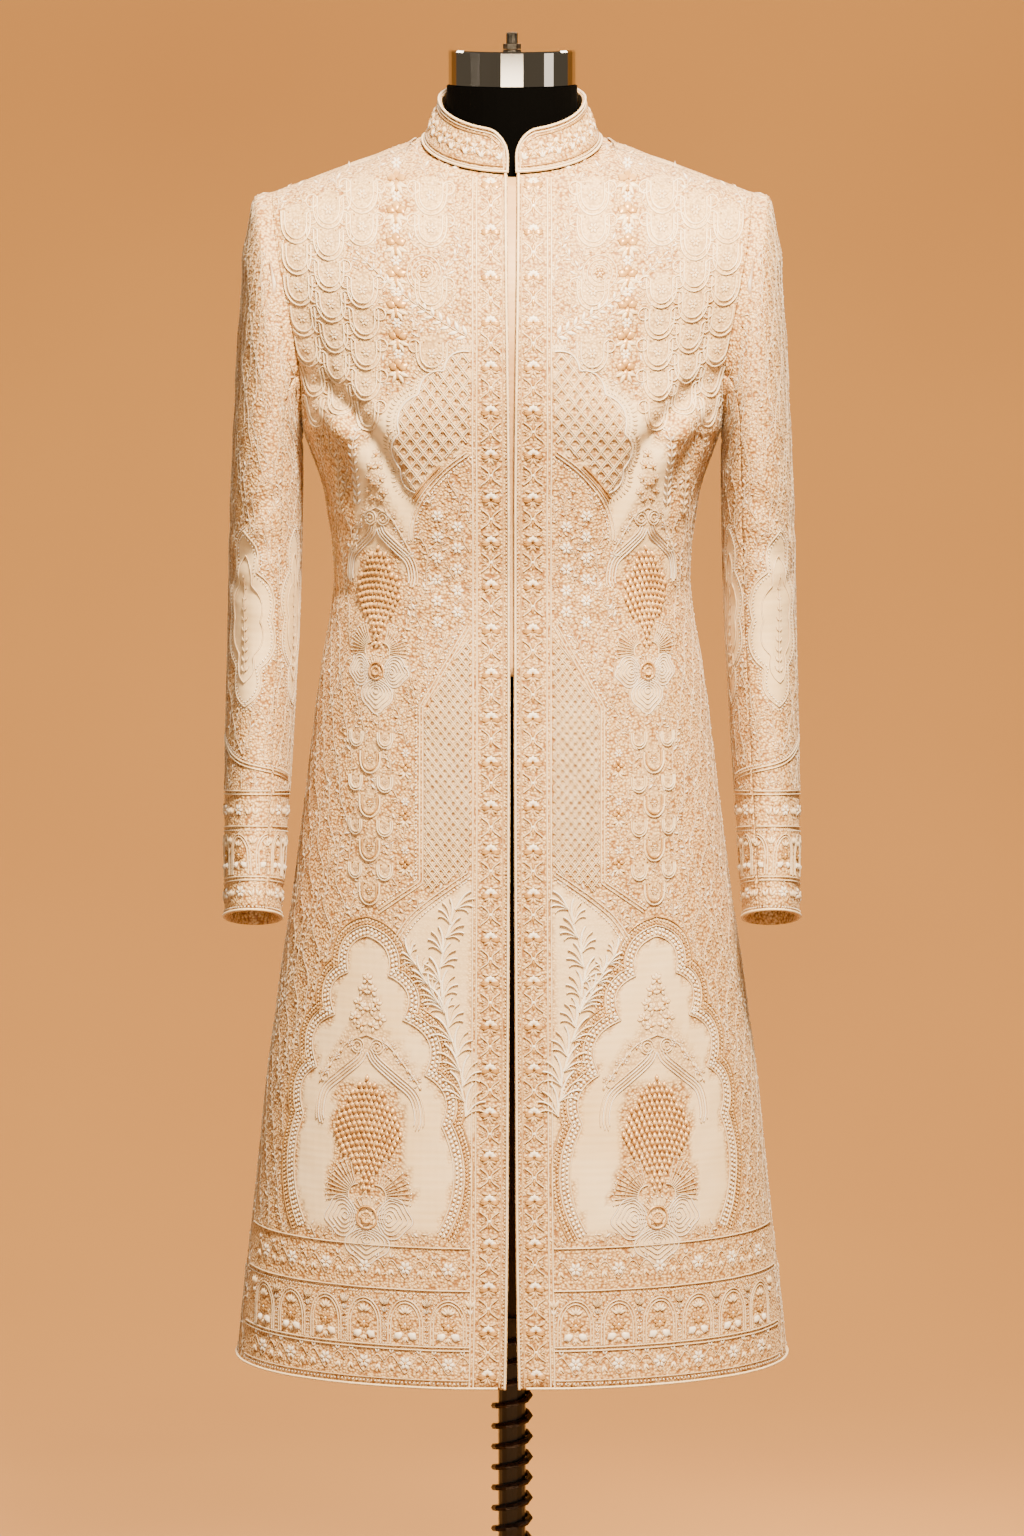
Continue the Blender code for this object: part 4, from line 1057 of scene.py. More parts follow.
def cone(panel, centre, top, foot, half_width, rows):
    """Bud of overlapping drop beads, widest a little above its middle, in scale order."""
    for row in range(rows):
        t = row / (rows - 1)
        width = half_width * float(np.interp(t, CONE_SHARES, CONE_WIDTHS))
        drops = max(int(round(2 * width / DROP_PITCH)), 1)
        drops += (drops + row) % 2
        u = centre + (np.arange(drops) - (drops - 1) / 2) * DROP_PITCH
        v = foot + (top - foot) * t - 0.009 * (u - centre) ** 2
        spots = np.column_stack((u, v))
        size = 7.0 * (0.76 + 0.24 * min(t * 2, 1))
        stamp(panel, "gold", TEARDROP, spots, 90, size, lift=0.2 + 0.5 * (1 - t))
        stamp(panel, "bead", BEAD, spots + (0, size * 0.50), 0, size * 0.27, lift=0.9 + 0.5 * (1 - t))


def contour_petal(panel, base, tip, width, rings):
    """Large satin petal filled with cords that follow its outline."""
    base, tip = np.asarray(base, float), np.asarray(tip, float)
    along = tip - base
    aside = np.array((-along[1], along[0])) / np.linalg.norm(along)
    sides = ((0.10, 0.55), (0.34, 1.0), (0.62, 0.94), (0.80, 0.52))
    for ring in range(rings):
        share = 1 - ring / rings
        foot = base + along * 0.30 * (1 - share)
        outline = [foot] + [foot + along * t * share + aside * w * width / 2 * share for t, w in sides]
        outline += [foot + along * share]
        outline += [foot + along * t * share - aside * w * width / 2 * share for t, w in sides[::-1]]
        shape = curve(outline, 4, closed=True)
        if ring == 0:
            panel.claim(shape, 1.0)
        couch(panel, "white", shape, 1.2 if ring else 1.8, 0.8, 2.6)


def rays(panel, centre, inner, outer, start, end, count):
    """Radiating stitches with a bead at each end."""
    centre = np.asarray(centre)
    turns = np.linspace(start, end, count)
    for turn in np.radians(turns):
        way = np.array((math.cos(turn), math.sin(turn)))
        couch(panel, "cream", [centre + way * inner, centre + way * outer], 1.1, 0.8, 4.0)
    way = np.column_stack((np.cos(np.radians(turns)), np.sin(np.radians(turns))))
    stamp(panel, "pearl", BEAD, centre + way * (outer + 1.6), 0, 1.25)


# The columns are shares of the crown's reach and of its height.
BRANCH = ((0, 0.40), (0.42, 0.30), (0.76, 0.08), (1, -0.10))
CROWN_TUFTS = ((0.0, 1.0), (0.09, 0.88), (0.18, 0.74), (0.07, 0.68), (0.26, 0.58), (0.12, 0.50))
# The columns are share of the flare's reach and mm above the bud, before it is grown.
FLARE = ((0, 21), (0.11, 12), (0.50, -3), (0.76, -14), (0.84, -30), (0.80, -38))


def crown(panel, centre, top, low, reach):
    """Cluster of curls and florets that spreads down to both sides over the bud."""
    height = top - low
    panel.claim(mirrored([(0, top + 8), (reach * 0.3, low + height * 0.55), (reach * 1.05, low - 2),
                          (reach * 0.8, low - height * 0.18), (0, low + height * 0.14)], centre), 0.45)
    for row, (spread, share) in enumerate(CROWN_TUFTS):
        for side in (-1, 1) if spread else (1,):
            spot = (centre + side * spread * reach, low + height * share)
            turns = np.array((40, 90, 140, 215, 325)) - side * row * 12
            stamp(panel, "cream", BROAD_LEAF, [spot] * 5, turns, reach * 0.15)
            stamp(panel, "gold", BEAD, [spot], 0, 2.1, lift=0.4)
    for side in (-1, 1):
        eye = np.array((centre + side * reach * 0.20, low + height * 0.28))
        for r in (6.5, 4.0):
            couch(panel, "cream", circle(eye, r, 13, 340), 1.4, 1.0, 2.2)
        stamp(panel, "bead", BEAD, [eye], 0, 1.8)
        branch = curve([(centre + side * reach * out, low + height * up) for out, up in BRANCH], 5)
        couch(panel, "cream", branch, 1.6, 1.0, 2.6)
        stops = resample(branch, reach * 0.19)[2:]
        for number, stop in enumerate(stops):
            rise, thread = (3.5, "cream") if number % 2 else (-2.0, "white")
            floret(panel, stop + (0, rise), 4.4, 5, thread, "gold")
            stamp(panel, "cream", LEAF, [stop], 90 + side * 25 + 180 * (number % 2), 7.5)
        stamp(panel, "gold", BEAD, stops + (side * 2.0, -4.5), 0, 1.5)
        curl = arc(branch[-1] + (-side * 4, 1.0), 4.5, 4.5, 90 - side * 90, 90 - side * 330, 9)
        couch(panel, "cream", curl, 1.4, 1.0, 2.2)


# Heights in mm above the hem; grow is the size of its fans and petals.
WAIST_MEDALLION = {"top": 829.0, "apex": 745.0, "widest": 709.0, "foot": 656.0, "rosette": 636.0,
                   "petal_foot": 598.0}
HEM_MEDALLION = {"top": 362.0, "apex": 274.0, "widest": 229.0, "foot": 172.0, "rosette": 150.0,
                 "petal_foot": 108.0, "half_width": 31.0, "grow": 1.12}


def medallion(panel, centre, top, apex, widest, foot, rosette, petal_foot, half_width, grow):
    """Lotus medallion: crown, flared cords, a beaded bud, fans, a rosette and three petals."""
    u = centre
    crown(panel, u, top, apex + 6, half_width * 1.55)
    flare = half_width * 1.75
    for side in (-1, 1):
        inner = curve([(u + side * flare * out, apex + up * grow) for out, up in FLARE], 5)
        for number, offset in enumerate((0.0, 2.7, 5.4, 8.1)):
            line = beside(inner, side * offset)
            tail = len(line) - (2, 0, 1, 3)[number]
            couch(panel, "white" if number in (0, 2) else "cream", line[:tail], 1.5, 1.0, 2.6)
        panel.claim_spots(resample(inner, 2.0), 9.0)
        fan_at = (u + side * 8 * grow, foot - 2)
        middle = 90 - side * 58
        rays(panel, fan_at, 9 * grow, 28 * grow, middle - 44, middle + 44, 11)
        couch(panel, "cream", arc(fan_at, 8.5 * grow, 8.5 * grow, middle - 60, middle + 60, 9), 1.5, 1.0,
              2.4)
        couch(panel, "gold", arc(fan_at, 19 * grow, 19 * grow, middle - 40, middle + 40, 11), 1.2, 0.8, 2.6)
        panel.claim([(u, foot + 4), (u + side * 34 * grow, foot + 22 * grow),
                     (u + side * 42 * grow, foot - 8), (u + side * 10, rosette)])
        contour_petal(panel, (u + side * 9 * grow, rosette + 2), (u + side * 39 * grow, rosette - 2 * grow),
                      32 * grow, 5)
    panel.claim([(u - half_width, apex), (u + half_width, apex), (u + half_width * 1.2, widest),
                 (u + half_width, foot), (u - half_width, foot), (u - half_width * 1.2, widest)])
    cone(panel, u, apex - 3, foot + 2, half_width, int(round((apex - foot) / 5.6)))
    contour_petal(panel, (u, rosette - 8 * grow), (u, petal_foot), 38 * grow, 5)
    panel.claim_spots([(u, rosette)], 16 * grow)
    couch(panel, "gold", circle((u, rosette), 9 * grow, 17), 2.2, 1.5, 2.4)
    rays(panel, (u, rosette), 10.0 * grow, 15.5 * grow, 0, 345, 24)
    floret(panel, (u, rosette), 8.0 * grow, 8, "tan", "gold")
    couch(panel, "gold", circle((u, rosette), 4.5 * grow, 11), 1.6, 1.8, 2.0)


print("designs: placket, hem borders, scales, lattice, spray, acanthus, medallion")

# %% [markdown]
# ## All-over filling
# Between the figures the cloth is covered with fine climbing stems.  Each stem wanders a little
# and carries paired satin leaves, with French knots and tiny flowers in the gaps, so that no
# ground is left bare.  Everything keeps clear of what is already sewn.

# %% Filling
STEM_SWAY = 5.0


def fill(panel, spacing=14.0, leaf_step=6.4, leaf_size=7.0, low=0.0):
    """Stems, leaves, knots and tiny flowers in all the free places."""
    random = panel.random
    left, right = panel.cells[0, 0, 0], panel.cells[-1, 0, 0]
    top = panel.cells[0, -1, 1]
    bottom = max(panel.cells[0, 0, 1], low)
    turns = np.arange(5) * 72.0
    for column, u in enumerate(np.arange(left, right, spacing)):
        v = np.arange(bottom, top, leaf_step / 2)
        phase = column * 1.9
        line = np.column_stack((u + STEM_SWAY * np.sin(v / 13.0 + phase) + 2.2 * np.sin(v / 5.9 + 2 * phase),
                                v))
        open_spot = panel.free(line) & (panel.margin(line) > 1.5)
        heading = np.degrees(np.arctan2(np.gradient(line[:, 1]), np.gradient(line[:, 0])))
        sizes = leaf_size * random.uniform(0.62, 1.22, len(line))
        lean = random.uniform(28, 74, len(line)) * np.where(np.arange(len(line)) % 2, 1, -1)
        white = random.random(len(line)) < 0.25
        skipped = random.random(len(line)) < 0.10
        for thread, pick in (("white", white), ("cream", ~white)):
            chosen = open_spot & pick & ~skipped
            stamp(panel, thread, SMALL_LEAF, line[chosen], (heading + lean)[chosen], sizes[chosen])
        stamp(panel, "gold", KNOT, line[open_spot & skipped], 0, 1.3)
        for run in unbroken(open_spot, 2):
            couch(panel, "cream", line[run], 0.9, 0.7, leaf_step)
        gap = line[::2] + (spacing / 2, leaf_step / 2)
        spare = panel.free(gap) & (panel.margin(gap) > 1.5)
        kind = (np.arange(len(gap)) + column * 2) % 5
        stamp(panel, "pearl", KNOT, gap[spare & (kind % 2 == 1)], 0, 1.15)
        stamp(panel, "gold", KNOT, gap[spare & (kind == 2)], 0, 1.35)
        stamp(panel, "bead", KNOT, gap[spare & (kind == 4)] + (1.5, 0), 0, 1.35)
        flowers = gap[spare & (kind == 0)]
        stamp(panel, "white", SMALL_LEAF, np.repeat(flowers, 5, axis=0), np.tile(turns, len(flowers)), 3.4)
        stamp(panel, "gold", KNOT, flowers, 0, 1.1, lift=0.3)


# %% [markdown]
# ## The fronts
# The two fronts mirror each other.  Down each one run the placket border, the scales of the
# chest, the lobed arch, the waist medallion with a column of gold-centred scales under it, a
# narrow lattice, and the great hem medallion in its pearl-edged ogee of plain silk.

# %% Embroider the fronts
FRONT_COLUMNS = (72.0, 103.5, 135.0, 166.5, 198.0)
BACK_COLUMNS = (12.0, 43.5, 75.0, 106.5, 138.0, 169.5, 201.0)
SCALE_PITCH = 27.0
SCALE_RADIUS = 14.2
BACK_LATTICE = ((0, 800), (40, 820), (52, 860), (36, 902), (0, 930))
ARCH_FOOT = ((38, 842), (58, 830), (74, 814), (86, 798))
ARCH_CUSPS = ((86, 798), (99, 818), (99, 850), (83, 884), (60, 905), (38, 922))
# The ogee's columns are height, half_width and the fullness of the lobe above.
OGEE_CUSPS = ((140, 66, 0.27), (236, 69, 0.50), (280, 54, 0.58), (328, 34, 0.60), (367, 20, 0.50),
              (401, 0, 0.0))


def ogee_outline(centre):
    """Lobed ogee, anticlockwise from its foot on the side away from the centre line."""
    away = [(centre + half, v) for v, half, full in OGEE_CUSPS]
    near = [(centre - half, v) for v, half, full in OGEE_CUSPS[-2::-1]]
    fullness = [full for v, half, full in OGEE_CUSPS[:-1]]
    return lobed(away + near, fullness + fullness[::-1], 10)


def hem_medallion(panel, centre):
    """The great medallion over the hem borders."""
    outline = ogee_outline(centre)
    panel.claim(outline, 1.0)
    panel.claim_spots(resample(beside(outline, -8.0), 2.0), 9.5, 0.0)
    couch(panel, "cream", outline, 1.5, 1.0, 2.6)
    for offset in (3.0, 6.6):
        string_beads(panel, "pearl", beside(outline, -offset), 4.1, 1.95)
    couch(panel, "cream", beside(outline, -9.3), 1.3, 1.0, 2.6)
    for number, offset in enumerate((11.6, 14.6)):
        string_beads(panel, "bead" if number else "gold", beside(outline, -offset), 3.5, 1.75)
    couch(panel, "gold", beside(outline, -17.2), 1.5, 1.0, 2.6)
    medallion(panel, centre, **HEM_MEDALLION)


# Outlines and lines of the front, as (across, up) in mm.
SATIN_GROUND = ((37, 930), (110, 880), (150, 820), (158, 730), (150, 700), (112, 700), (92, 740),
                (88, 790), (60, 826), (38, 838))
PLUME_GROUND = ((37, 225), (37, 454), (70, 432), (90, 416), (104, 395), (84, 372), (70, 330),
                (52, 290), (44, 240))
ARCH_TIE = ((62, 821), (76, 806), (88, 790))
ARCH_LINING = ((38, 832), (54, 820), (68, 806), (80, 790), (88, 772), (90, 754))
NARROW_LATTICE = ((37, 674), (78, 604), (78, 440), (37, 464))
NARROW_EDGE = ((38, 679), (81, 606), (81, 451), (120, 424))
SLANT_CORDS = ((38, 460), (70, 437), (91, 419), (105, 399))
SLANT_PEARLS = ((38, 455), (67, 433), (87, 415), (100, 396))
CHEST_ROSETTE = (78.0, 990.0)
# The columns are the stem's points and the size of its tufts in mm.
PLUMES = (
    (((41, 244), (46, 285), (58, 330), (64, 372), (58, 405), (50, 428)), 31.0),
    (((60, 336), (72, 356), (83, 374), (91, 386)), 22.0),
)
# The columns are root, turn in degrees, length, leaves, thread, leaf size and bend in degrees.
FRONT_SPRAYS = (
    ((40, 936), 28, 118, 14, "white", 12.0, 16),
    ((150, 782), 96, 90, 12, "white", 11.0, -6),
    ((172, 772), 88, 84, 11, "cream", 10.0, 8),
)


def front_arch(panel):
    """Lattice under a lobed arch, fringed with leaves above and lined with cords below."""
    rim = lobed(ARCH_CUSPS, 0.5, 7)
    lattice(panel, np.vstack((curve(ARCH_FOOT, 4), rim)), 14.5, 0.1)
    border = beside(rim, -1.0)
    couch(panel, "white", border, 1.9, 1.2, 2.4)
    string_beads(panel, "pearl", beside(border, -3.2), 3.2, 1.1)
    fringe = resample(beside(border, -5.5), 3.4)
    lean = np.degrees(np.arctan2(*(np.gradient(fringe, axis=0)[:, ::-1].T))) - 90
    stamp(panel, "cream", LEAF, fringe, lean, 6.0)
    panel.claim_spots(fringe, 5.0)
    couch(panel, "gold", curve(ARCH_TIE, 5), 2.2, 1.2, offsets=(-1.5, 1.5))
    lining = curve(ARCH_LINING, 6)
    couch(panel, "cream", lining, 1.5, 1.0, 2.6, offsets=(0.0, 3.0))
    pearl_edge(panel, lining, (-3.2,), 4.0)


def front_net(panel):
    """The narrow lattice beside the placket, its pearl edge and the cords that slant under it."""
    lattice(panel, NARROW_LATTICE, 9.4, 0.1)
    edge = resample(NARROW_EDGE, 6.0)
    couch(panel, "cream", edge, 1.6, 1.0, offsets=(-1.4, 1.6))
    pearl_edge(panel, edge, (5.0,), 6.5, (3.3, 1.3))
    couch(panel, "cream", curve(SLANT_CORDS, 5), 1.6, 1.0, offsets=(-1.6, 1.6))
    string_beads(panel, "pearl", curve(SLANT_PEARLS, 5), 3.3, 1.3)


def front_columns(panel):
    """Upright columns of scales and flowers between the medallions, and florets at the waist."""
    for v in np.arange(440, 590, 39.0):
        scale(panel, (131, v), 10.5, gold=True)
        floret(panel, (131, v + 2), 5.0, 6, "gold", "white")
        for side in (-1, 1):
            if v + 19.5 < 585:
                scale(panel, (131 + side * 15.5, v + 19.5), 7.5)
    for v in (468.0, 511.0, 554.0):
        stamp(panel, "gold", PETAL, [(96, v)] * 4, (0, 90, 180, 270), 6.5)
        floret(panel, (96, v + 11), 5.0, 6, "white", "gold")
        stamp(panel, "cream", LEAF, [(96, v - 6)] * 4, (-20, -60, -120, -160), 8.0)
        panel.claim_spots([(96, v), (96, v + 9)], 8.0)
    for v in np.arange(672, 780, 19.0):
        for u, rise in ((48.0, 0), (66.0, 9.5)):
            spot = np.array((u, v + rise))
            if panel.free(spot):
                floret(panel, spot, 6.6, 6, "white", "gold")
                panel.claim_spots(spot, 7.0)


def chest_rosette(panel, centre):
    """Rings of cord round a flower."""
    for radius in (15.5, 11.5, 7.5):
        couch(panel, "cream", circle(centre, radius, 19), 1.4, 0.9, 2.4)
    floret(panel, centre, 5.5, 6, "gold", "white")
    panel.claim_spots([centre], 17.0)


def decorate_front(panel):
    """All of one front, from its borders to its filling."""
    placket(panel, 2.0, 1075.0)
    hem_borders(panel, 37.0, 290.0)
    hem_medallion(panel, 132.0)
    panel.claim(SATIN_GROUND, 1.0)
    panel.claim(PLUME_GROUND, 0.85)
    medallion(panel, 125.0, **WAIST_MEDALLION, half_width=22.0, grow=0.84)
    front_arch(panel)
    front_net(panel)
    front_columns(panel)
    for points, size in PLUMES:
        acanthus(panel, points, size)
    for row in FRONT_SPRAYS:
        spray(panel, *row)
    chest_rosette(panel, CHEST_ROSETTE)
    scale_field(panel, FRONT_COLUMNS, 866, 1110, SCALE_PITCH, SCALE_RADIUS)
    fill(panel)


fronts = Panel("front_left", front_cloth, front_normals, front_chart, 11)
decorate_front(fronts)
print("front pieces sewn:", sum(len(v) for v in fronts.sewn.values()))

# %% [markdown]
# ## Back, sleeves and collar
# The back repeats the two medallions and the hem borders, with scales over the shoulders.
# The sleeves carry the small filling, pearl-edged ogees of plain silk at the elbow and a
# bordered cuff.  The collar is one band of leaves and flowers between cords.

# %% Embroider the back
def decorate_back(panel):
    """Half of the back, from its centre line to the side seam."""
    hem_borders(panel, -4.0, 290.0)
    hem_medallion(panel, 124.0)
    medallion(panel, 118.0, **WAIST_MEDALLION, half_width=23.0, grow=0.86)
    lattice(panel, BACK_LATTICE, 14.5)
    rim = curve(BACK_LATTICE, 6)
    couch(panel, "white", rim, 1.9, 1.2, 2.4)
    pearl_edge(panel, rim, (-3.2,), 5.0, (3.2, 1.1))
    for u in (0.0, 36.0):
        for v in np.arange(440, 590, 39.0):
            scale(panel, (u + 6, v + u / 2), 10.5, gold=True)
    for step in range(6):
        spray(panel, (8, 160 + step * 42), 60, 34, 5, "white", 8.5, 20)
        spray(panel, (38, 150 + step * 42), 120, 28, 4, "cream", 8.0, -20)
    scale_field(panel, BACK_COLUMNS, 880, 1130, SCALE_PITCH, SCALE_RADIUS)
    fill(panel, 14.5, 6.8, 7.2)


backs = Panel("back", back_cloth, back_normals, back_chart, 23)
decorate_back(backs)
print("back pieces sewn:", sum(len(v) for v in backs.sewn.values()))

# %% Embroider the sleeves
CUFF_LINES = (31.0, 79.0, 110.0)


def sleeve_ogee(panel, centre, low, high, half):
    """Pearl-edged plain ogee with a small flower in it."""
    middle = (low + high) / 2
    low_shoulder = low + (middle - low) * 0.45
    high_shoulder = high - (high - middle) * 0.45
    cusps = mirrored([(0, low), (half * 0.55, low_shoulder), (half, middle),
                      (half * 0.55, high_shoulder), (0, high)], centre)
    outline = lobed(cusps + cusps[:1], 0.4)
    panel.claim(outline, 1.0)
    couch(panel, "cream", outline, 1.6, 1.0, 2.6)
    string_beads(panel, "pearl", beside(outline, 3.2), 3.3, 1.3)
    string_beads(panel, "pearl", beside(outline, -3.2), 3.3, 1.2)
    panel.claim_spots(resample(outline, 2.0), 4.5)
    inner = (outline - (centre, middle)) * (0.62, 0.72) + (centre, middle)
    couch(panel, "cream", inner, 1.4, 1.0, 2.6)
    spray(panel, (centre, low + 32), 90, middle - low + 4, 9, "cream", 9.0)


def decorate_sleeve(panel, start, end):
    """The sleeve between two lines of its pattern."""
    for height, offsets in zip(CUFF_LINES, ((-1.6, 1.6), (0.0,), (-1.6, 1.6))):
        couch(panel, "cream", [(start, height), (end, height)], 1.6, 1.0, 4.0, offsets=offsets)
    string_beads(panel, "pearl", [(start, 5.0), (end, 5.0)], 3.6, 1.2)
    string_beads(panel, "pearl", [(start, 75.4), (end, 75.4)], 3.6, 1.1)
    panel.claim([(start - 8, -8), (end + 8, -8), (end + 8, 112), (start - 8, 112)])
    for u in np.arange(start + 14.5, end, 29.0):
        arch = np.vstack(([(u - 12, 35)], arc((u, 52), 12, 20, 180, 0, 11), [(u + 12, 35)]))
        couch(panel, "cream", arch, 1.4, 0.9, 3.0, offsets=(0.0, -2.4))
        floret(panel, (u, 53), 6.0, 8, "gold", "white")
        stamp(panel, "white", PETAL, [(u - 1.5, 46), (u + 1.5, 46)], (212, -32), 9.0)
        stamp(panel, "cream", LEAF, [(u, 60)] * 3, (50, 90, 130), 8.0)
        stamp(panel, "cream", LEAF, [(u + 14.5, 62)] * 3, (60, 90, 120), 9.0)
        stamp(panel, "gold", BEAD, [(u + 14.5, 56)], 0, 1.7)
        for row in (19, 94):
            floret(panel, (u, row), 6.8, 6, "white", "gold")
            stamp(panel, "cream", LEAF, [(u - 12, row - 5), (u + 12, row - 5)] * 2, (60, 120, 100, 80), 9.0)
            stamp(panel, "gold", BEAD, [(u + 14.5, row + 5)], 0, 1.6)
            stamp(panel, "pearl", KNOT, [(u + 14.5, row - 7), (u, row + 9)], 0, 1.2)
    for lean in (-1, 1):
        slant = curve([(lean * 10, 160), (lean * 60, 138), (lean * 130, 122)], 6)
        couch(panel, "cream", slant, 1.6, 1.0, 2.8, offsets=(-1.6, 1.6))
        pearl_edge(panel, slant, (4.6,), 6.0, (3.3, 1.2))
    for centre, half in ((-66.0, 27), (66.0, 27), (-134.0, 24), (134.0, 24)):
        sleeve_ogee(panel, centre, 190, 350, half)
    fill(panel, 12.0, 6.0, 6.2, low=CUFF_LINES[-1])


first_seam = round((180 - SLEEVE_SEAM_ANGLE) / 360 * SLEEVE_COLUMNS)
second_seam = SLEEVE_COLUMNS - first_seam
upper_columns = slice(first_seam, second_seam + 1)
sleeve_upper = Panel("sleeve_left_upper", sleeve_cloth[:, upper_columns], sleeve_normals[:, upper_columns],
                     sleeve_chart[:, upper_columns], 37)
decorate_sleeve(sleeve_upper, -190.0, 190.0)
around = sleeve_chart[:, -1, 0] - sleeve_chart[:, 0, 0]
wrapped = sleeve_chart[:, 1:first_seam + 1].copy()
wrapped[..., 0] += around[:, None]
under_columns = slice(second_seam, SLEEVE_COLUMNS + 1)


def under(grid):
    """Columns of the under sleeve, joined across the underarm line."""
    return np.concatenate((grid[:, under_columns], grid[:, 1:first_seam + 1]), axis=1)


sleeve_under = Panel("sleeve_left_under", under(sleeve_cloth), under(sleeve_normals),
                     np.concatenate((sleeve_chart[:, under_columns], wrapped), axis=1), 41)
decorate_sleeve(sleeve_under, 60.0, 340.0)
print("sleeve pieces sewn:", sum(len(v) for v in sleeve_upper.sewn.values()))


# %% Embroider the collar
def decorate_collar(panel):
    """Half of the collar band: cords at both edges, flowers and leaves between."""
    length = float(panel.chart[0, -1, 0])
    for height, width in ((3.2, 1.5), (5.8, 1.2)):
        couch(panel, "gold" if height > 5 else "cream", [(0, height), (length + 4, height)], width, 1.0)
    top = panel.chart[-1]
    rim = np.vstack(([(3.4, 0)], np.column_stack((np.maximum(top[:, 0], 3.4), top[:, 1] - 3.2))))
    couch(panel, "cream", rim, 1.5, 1.0, 2.4)
    couch(panel, "gold", rim + (2.6, -2.6), 1.2, 0.9, 2.4)
    for number, u in enumerate(np.arange(17.0, length, 17.0)):
        floret(panel, (u, 18.5), 6.0, 6, "white" if number % 2 else "cream", "gold")
        stamp(panel, "gold", LEAF, [(u, 18.5)] * 4, (35, 145, 215, 325), 11.0)
        stamp(panel, "white", LEAF, [(u + 8.5, 11)] * 3, (60, 90, 120), 8.5)
        stamp(panel, "cream", LEAF, [(u + 8.5, 27)] * 3, (-60, -90, -120), 8.5)
        stamp(panel, "pearl", KNOT, [(u + 8.5, 19), (u, 9), (u, 28.5)], 0, 1.2)
    stamp(panel, "white", LEAF, [(6, 11)] * 3, (30, 60, 90), 9.0)


collars = Panel("collar", collar_flat, collar_normals, collar_chart, 53)
decorate_collar(collars)
print("collar pieces sewn:", sum(len(v) for v in collars.sewn.values()))

# %% [markdown]
# ## From pattern to cloth
# Each piece of cloth becomes a closed wall: its outer face is the grid, its inner face the same
# grid moved in by the cloth's thickness.  A value on each point says how closely the ground is
# worked, so that the silk between the stitches takes a painted shade where the thread crowds it.

# %% Meshes
ROOT = "root"
TRIANGLE_LIMIT = 190000      # for one piece
made = {}


def mesh_piece(name, vertices, faces, material, slot_name, mirror=False, **values):
    """A smooth mesh from arrays of triangles or quads, mirrored for the wearer's other side."""
    vertices = np.array(vertices, float)
    faces = np.array(faces)
    if mirror:
        vertices[:, 0] *= -1
        faces = faces[:, ::-1]
    mesh = bpy.data.meshes.new(name)
    mesh.vertices.add(len(vertices))
    mesh.vertices.foreach_set("co", vertices.astype(np.float32).ravel())
    mesh.loops.add(faces.size)
    mesh.loops.foreach_set("vertex_index", faces.astype(np.int32).ravel())
    mesh.polygons.add(len(faces))
    mesh.polygons.foreach_set("loop_start", (np.arange(len(faces)) * faces.shape[1]).astype(np.int32))
    mesh.polygons.foreach_set("use_smooth", np.ones(len(faces), bool))
    for label, value in values.items():
        mesh.attributes.new(label, "FLOAT", "POINT").data.foreach_set("value", value.astype(np.float32))
    mesh.update(calc_edges=True)
    mesh.validate()
    mesh.materials.append(material)
    piece = bpy.data.objects.new(name, mesh)
    scene.collection.objects.link(piece)
    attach(piece, ROOT)
    made[name] = piece
    return piece


def wall_arrays(points, normals, wall):
    """Vertices and quads of a closed wall on a grid, and which vertices are outside."""
    rows, columns = points.shape[:2]
    outer = points.reshape(-1, 3)
    inner = (points - normals * wall).reshape(-1, 3)
    index = np.arange(rows * columns).reshape(rows, columns)
    a, b, c, d = index[:-1, :-1], index[:-1, 1:], index[1:, 1:], index[1:, :-1]
    face = np.stack((a, b, c, d), -1).reshape(-1, 4)
    rim = np.concatenate((index[0, :-1], index[:-1, -1], index[-1, :0:-1], index[:0:-1, 0]))
    nxt = np.roll(rim, -1)
    size = rows * columns
    edge = np.stack((rim + size, nxt + size, nxt, rim), -1)
    return np.vstack((outer, inner)), np.vstack((face, face[:, ::-1] + size, edge))


def worked_values(panel):
    """How closely each grid point's ground is worked, from 0 plain to 1 crowded."""
    i = np.clip(np.rint((panel.chart - panel.low) / CELL_MM).astype(int), 0, panel.count - 1)
    value = 1 - panel.plain[i[..., 0], i[..., 1]]
    return np.tile(value.ravel(), 2)


def cloth_pieces(panel, names):
    """The panel's cloth on the wearer's left and, mirrored, on the right."""
    vertices, faces = wall_arrays(panel.points, panel.normals, CLOTH_WALL)
    for name, mirror in zip(names, (False, True)):
        mesh_piece(name, vertices, faces, silk, "coat_cloth", mirror, worked=worked_values(panel))


def embroidery_pieces(panel, names):
    """One mesh for each thread, carried from the pattern onto the worn cloth."""
    for thread, motifs in panel.sewn.items():
        if not motifs:
            continue
        starts = np.cumsum([0] + [len(v) for v, f in motifs[:-1]])
        flat = np.concatenate([v for v, f in motifs])
        faces = np.concatenate([f + s for (v, f), s in zip(motifs, starts)])
        table = panel.read(flat[:, :2])
        vertices = table[:, :3] + unit(table[:, 3:6]) * (flat[:, 2:] * MM)
        if panel.flipped:
            faces = faces[:, ::-1]
        for name, mirror in zip(names, (False, True)):
            label = name + "_embroidery_" + thread
            # proud is each vertex's height above the cloth; the thread material paints shade where it is
            # low.
            mesh_piece(label, vertices, faces, THREADS[thread], "coat_cloth", mirror, proud=flat[:, 2])
        print(panel.name, thread, "triangles:", len(faces))
        assert len(faces) < TRIANGLE_LIMIT


def make_panel(panel, names):
    """Cloth and embroidery of one panel, on both sides."""
    cloth_pieces(panel, [name + "_cloth" for name in names])
    embroidery_pieces(panel, names)


# The halves of the back meet with their walls straight in from the centre line.
back_normals[:, -1, 0] = 0
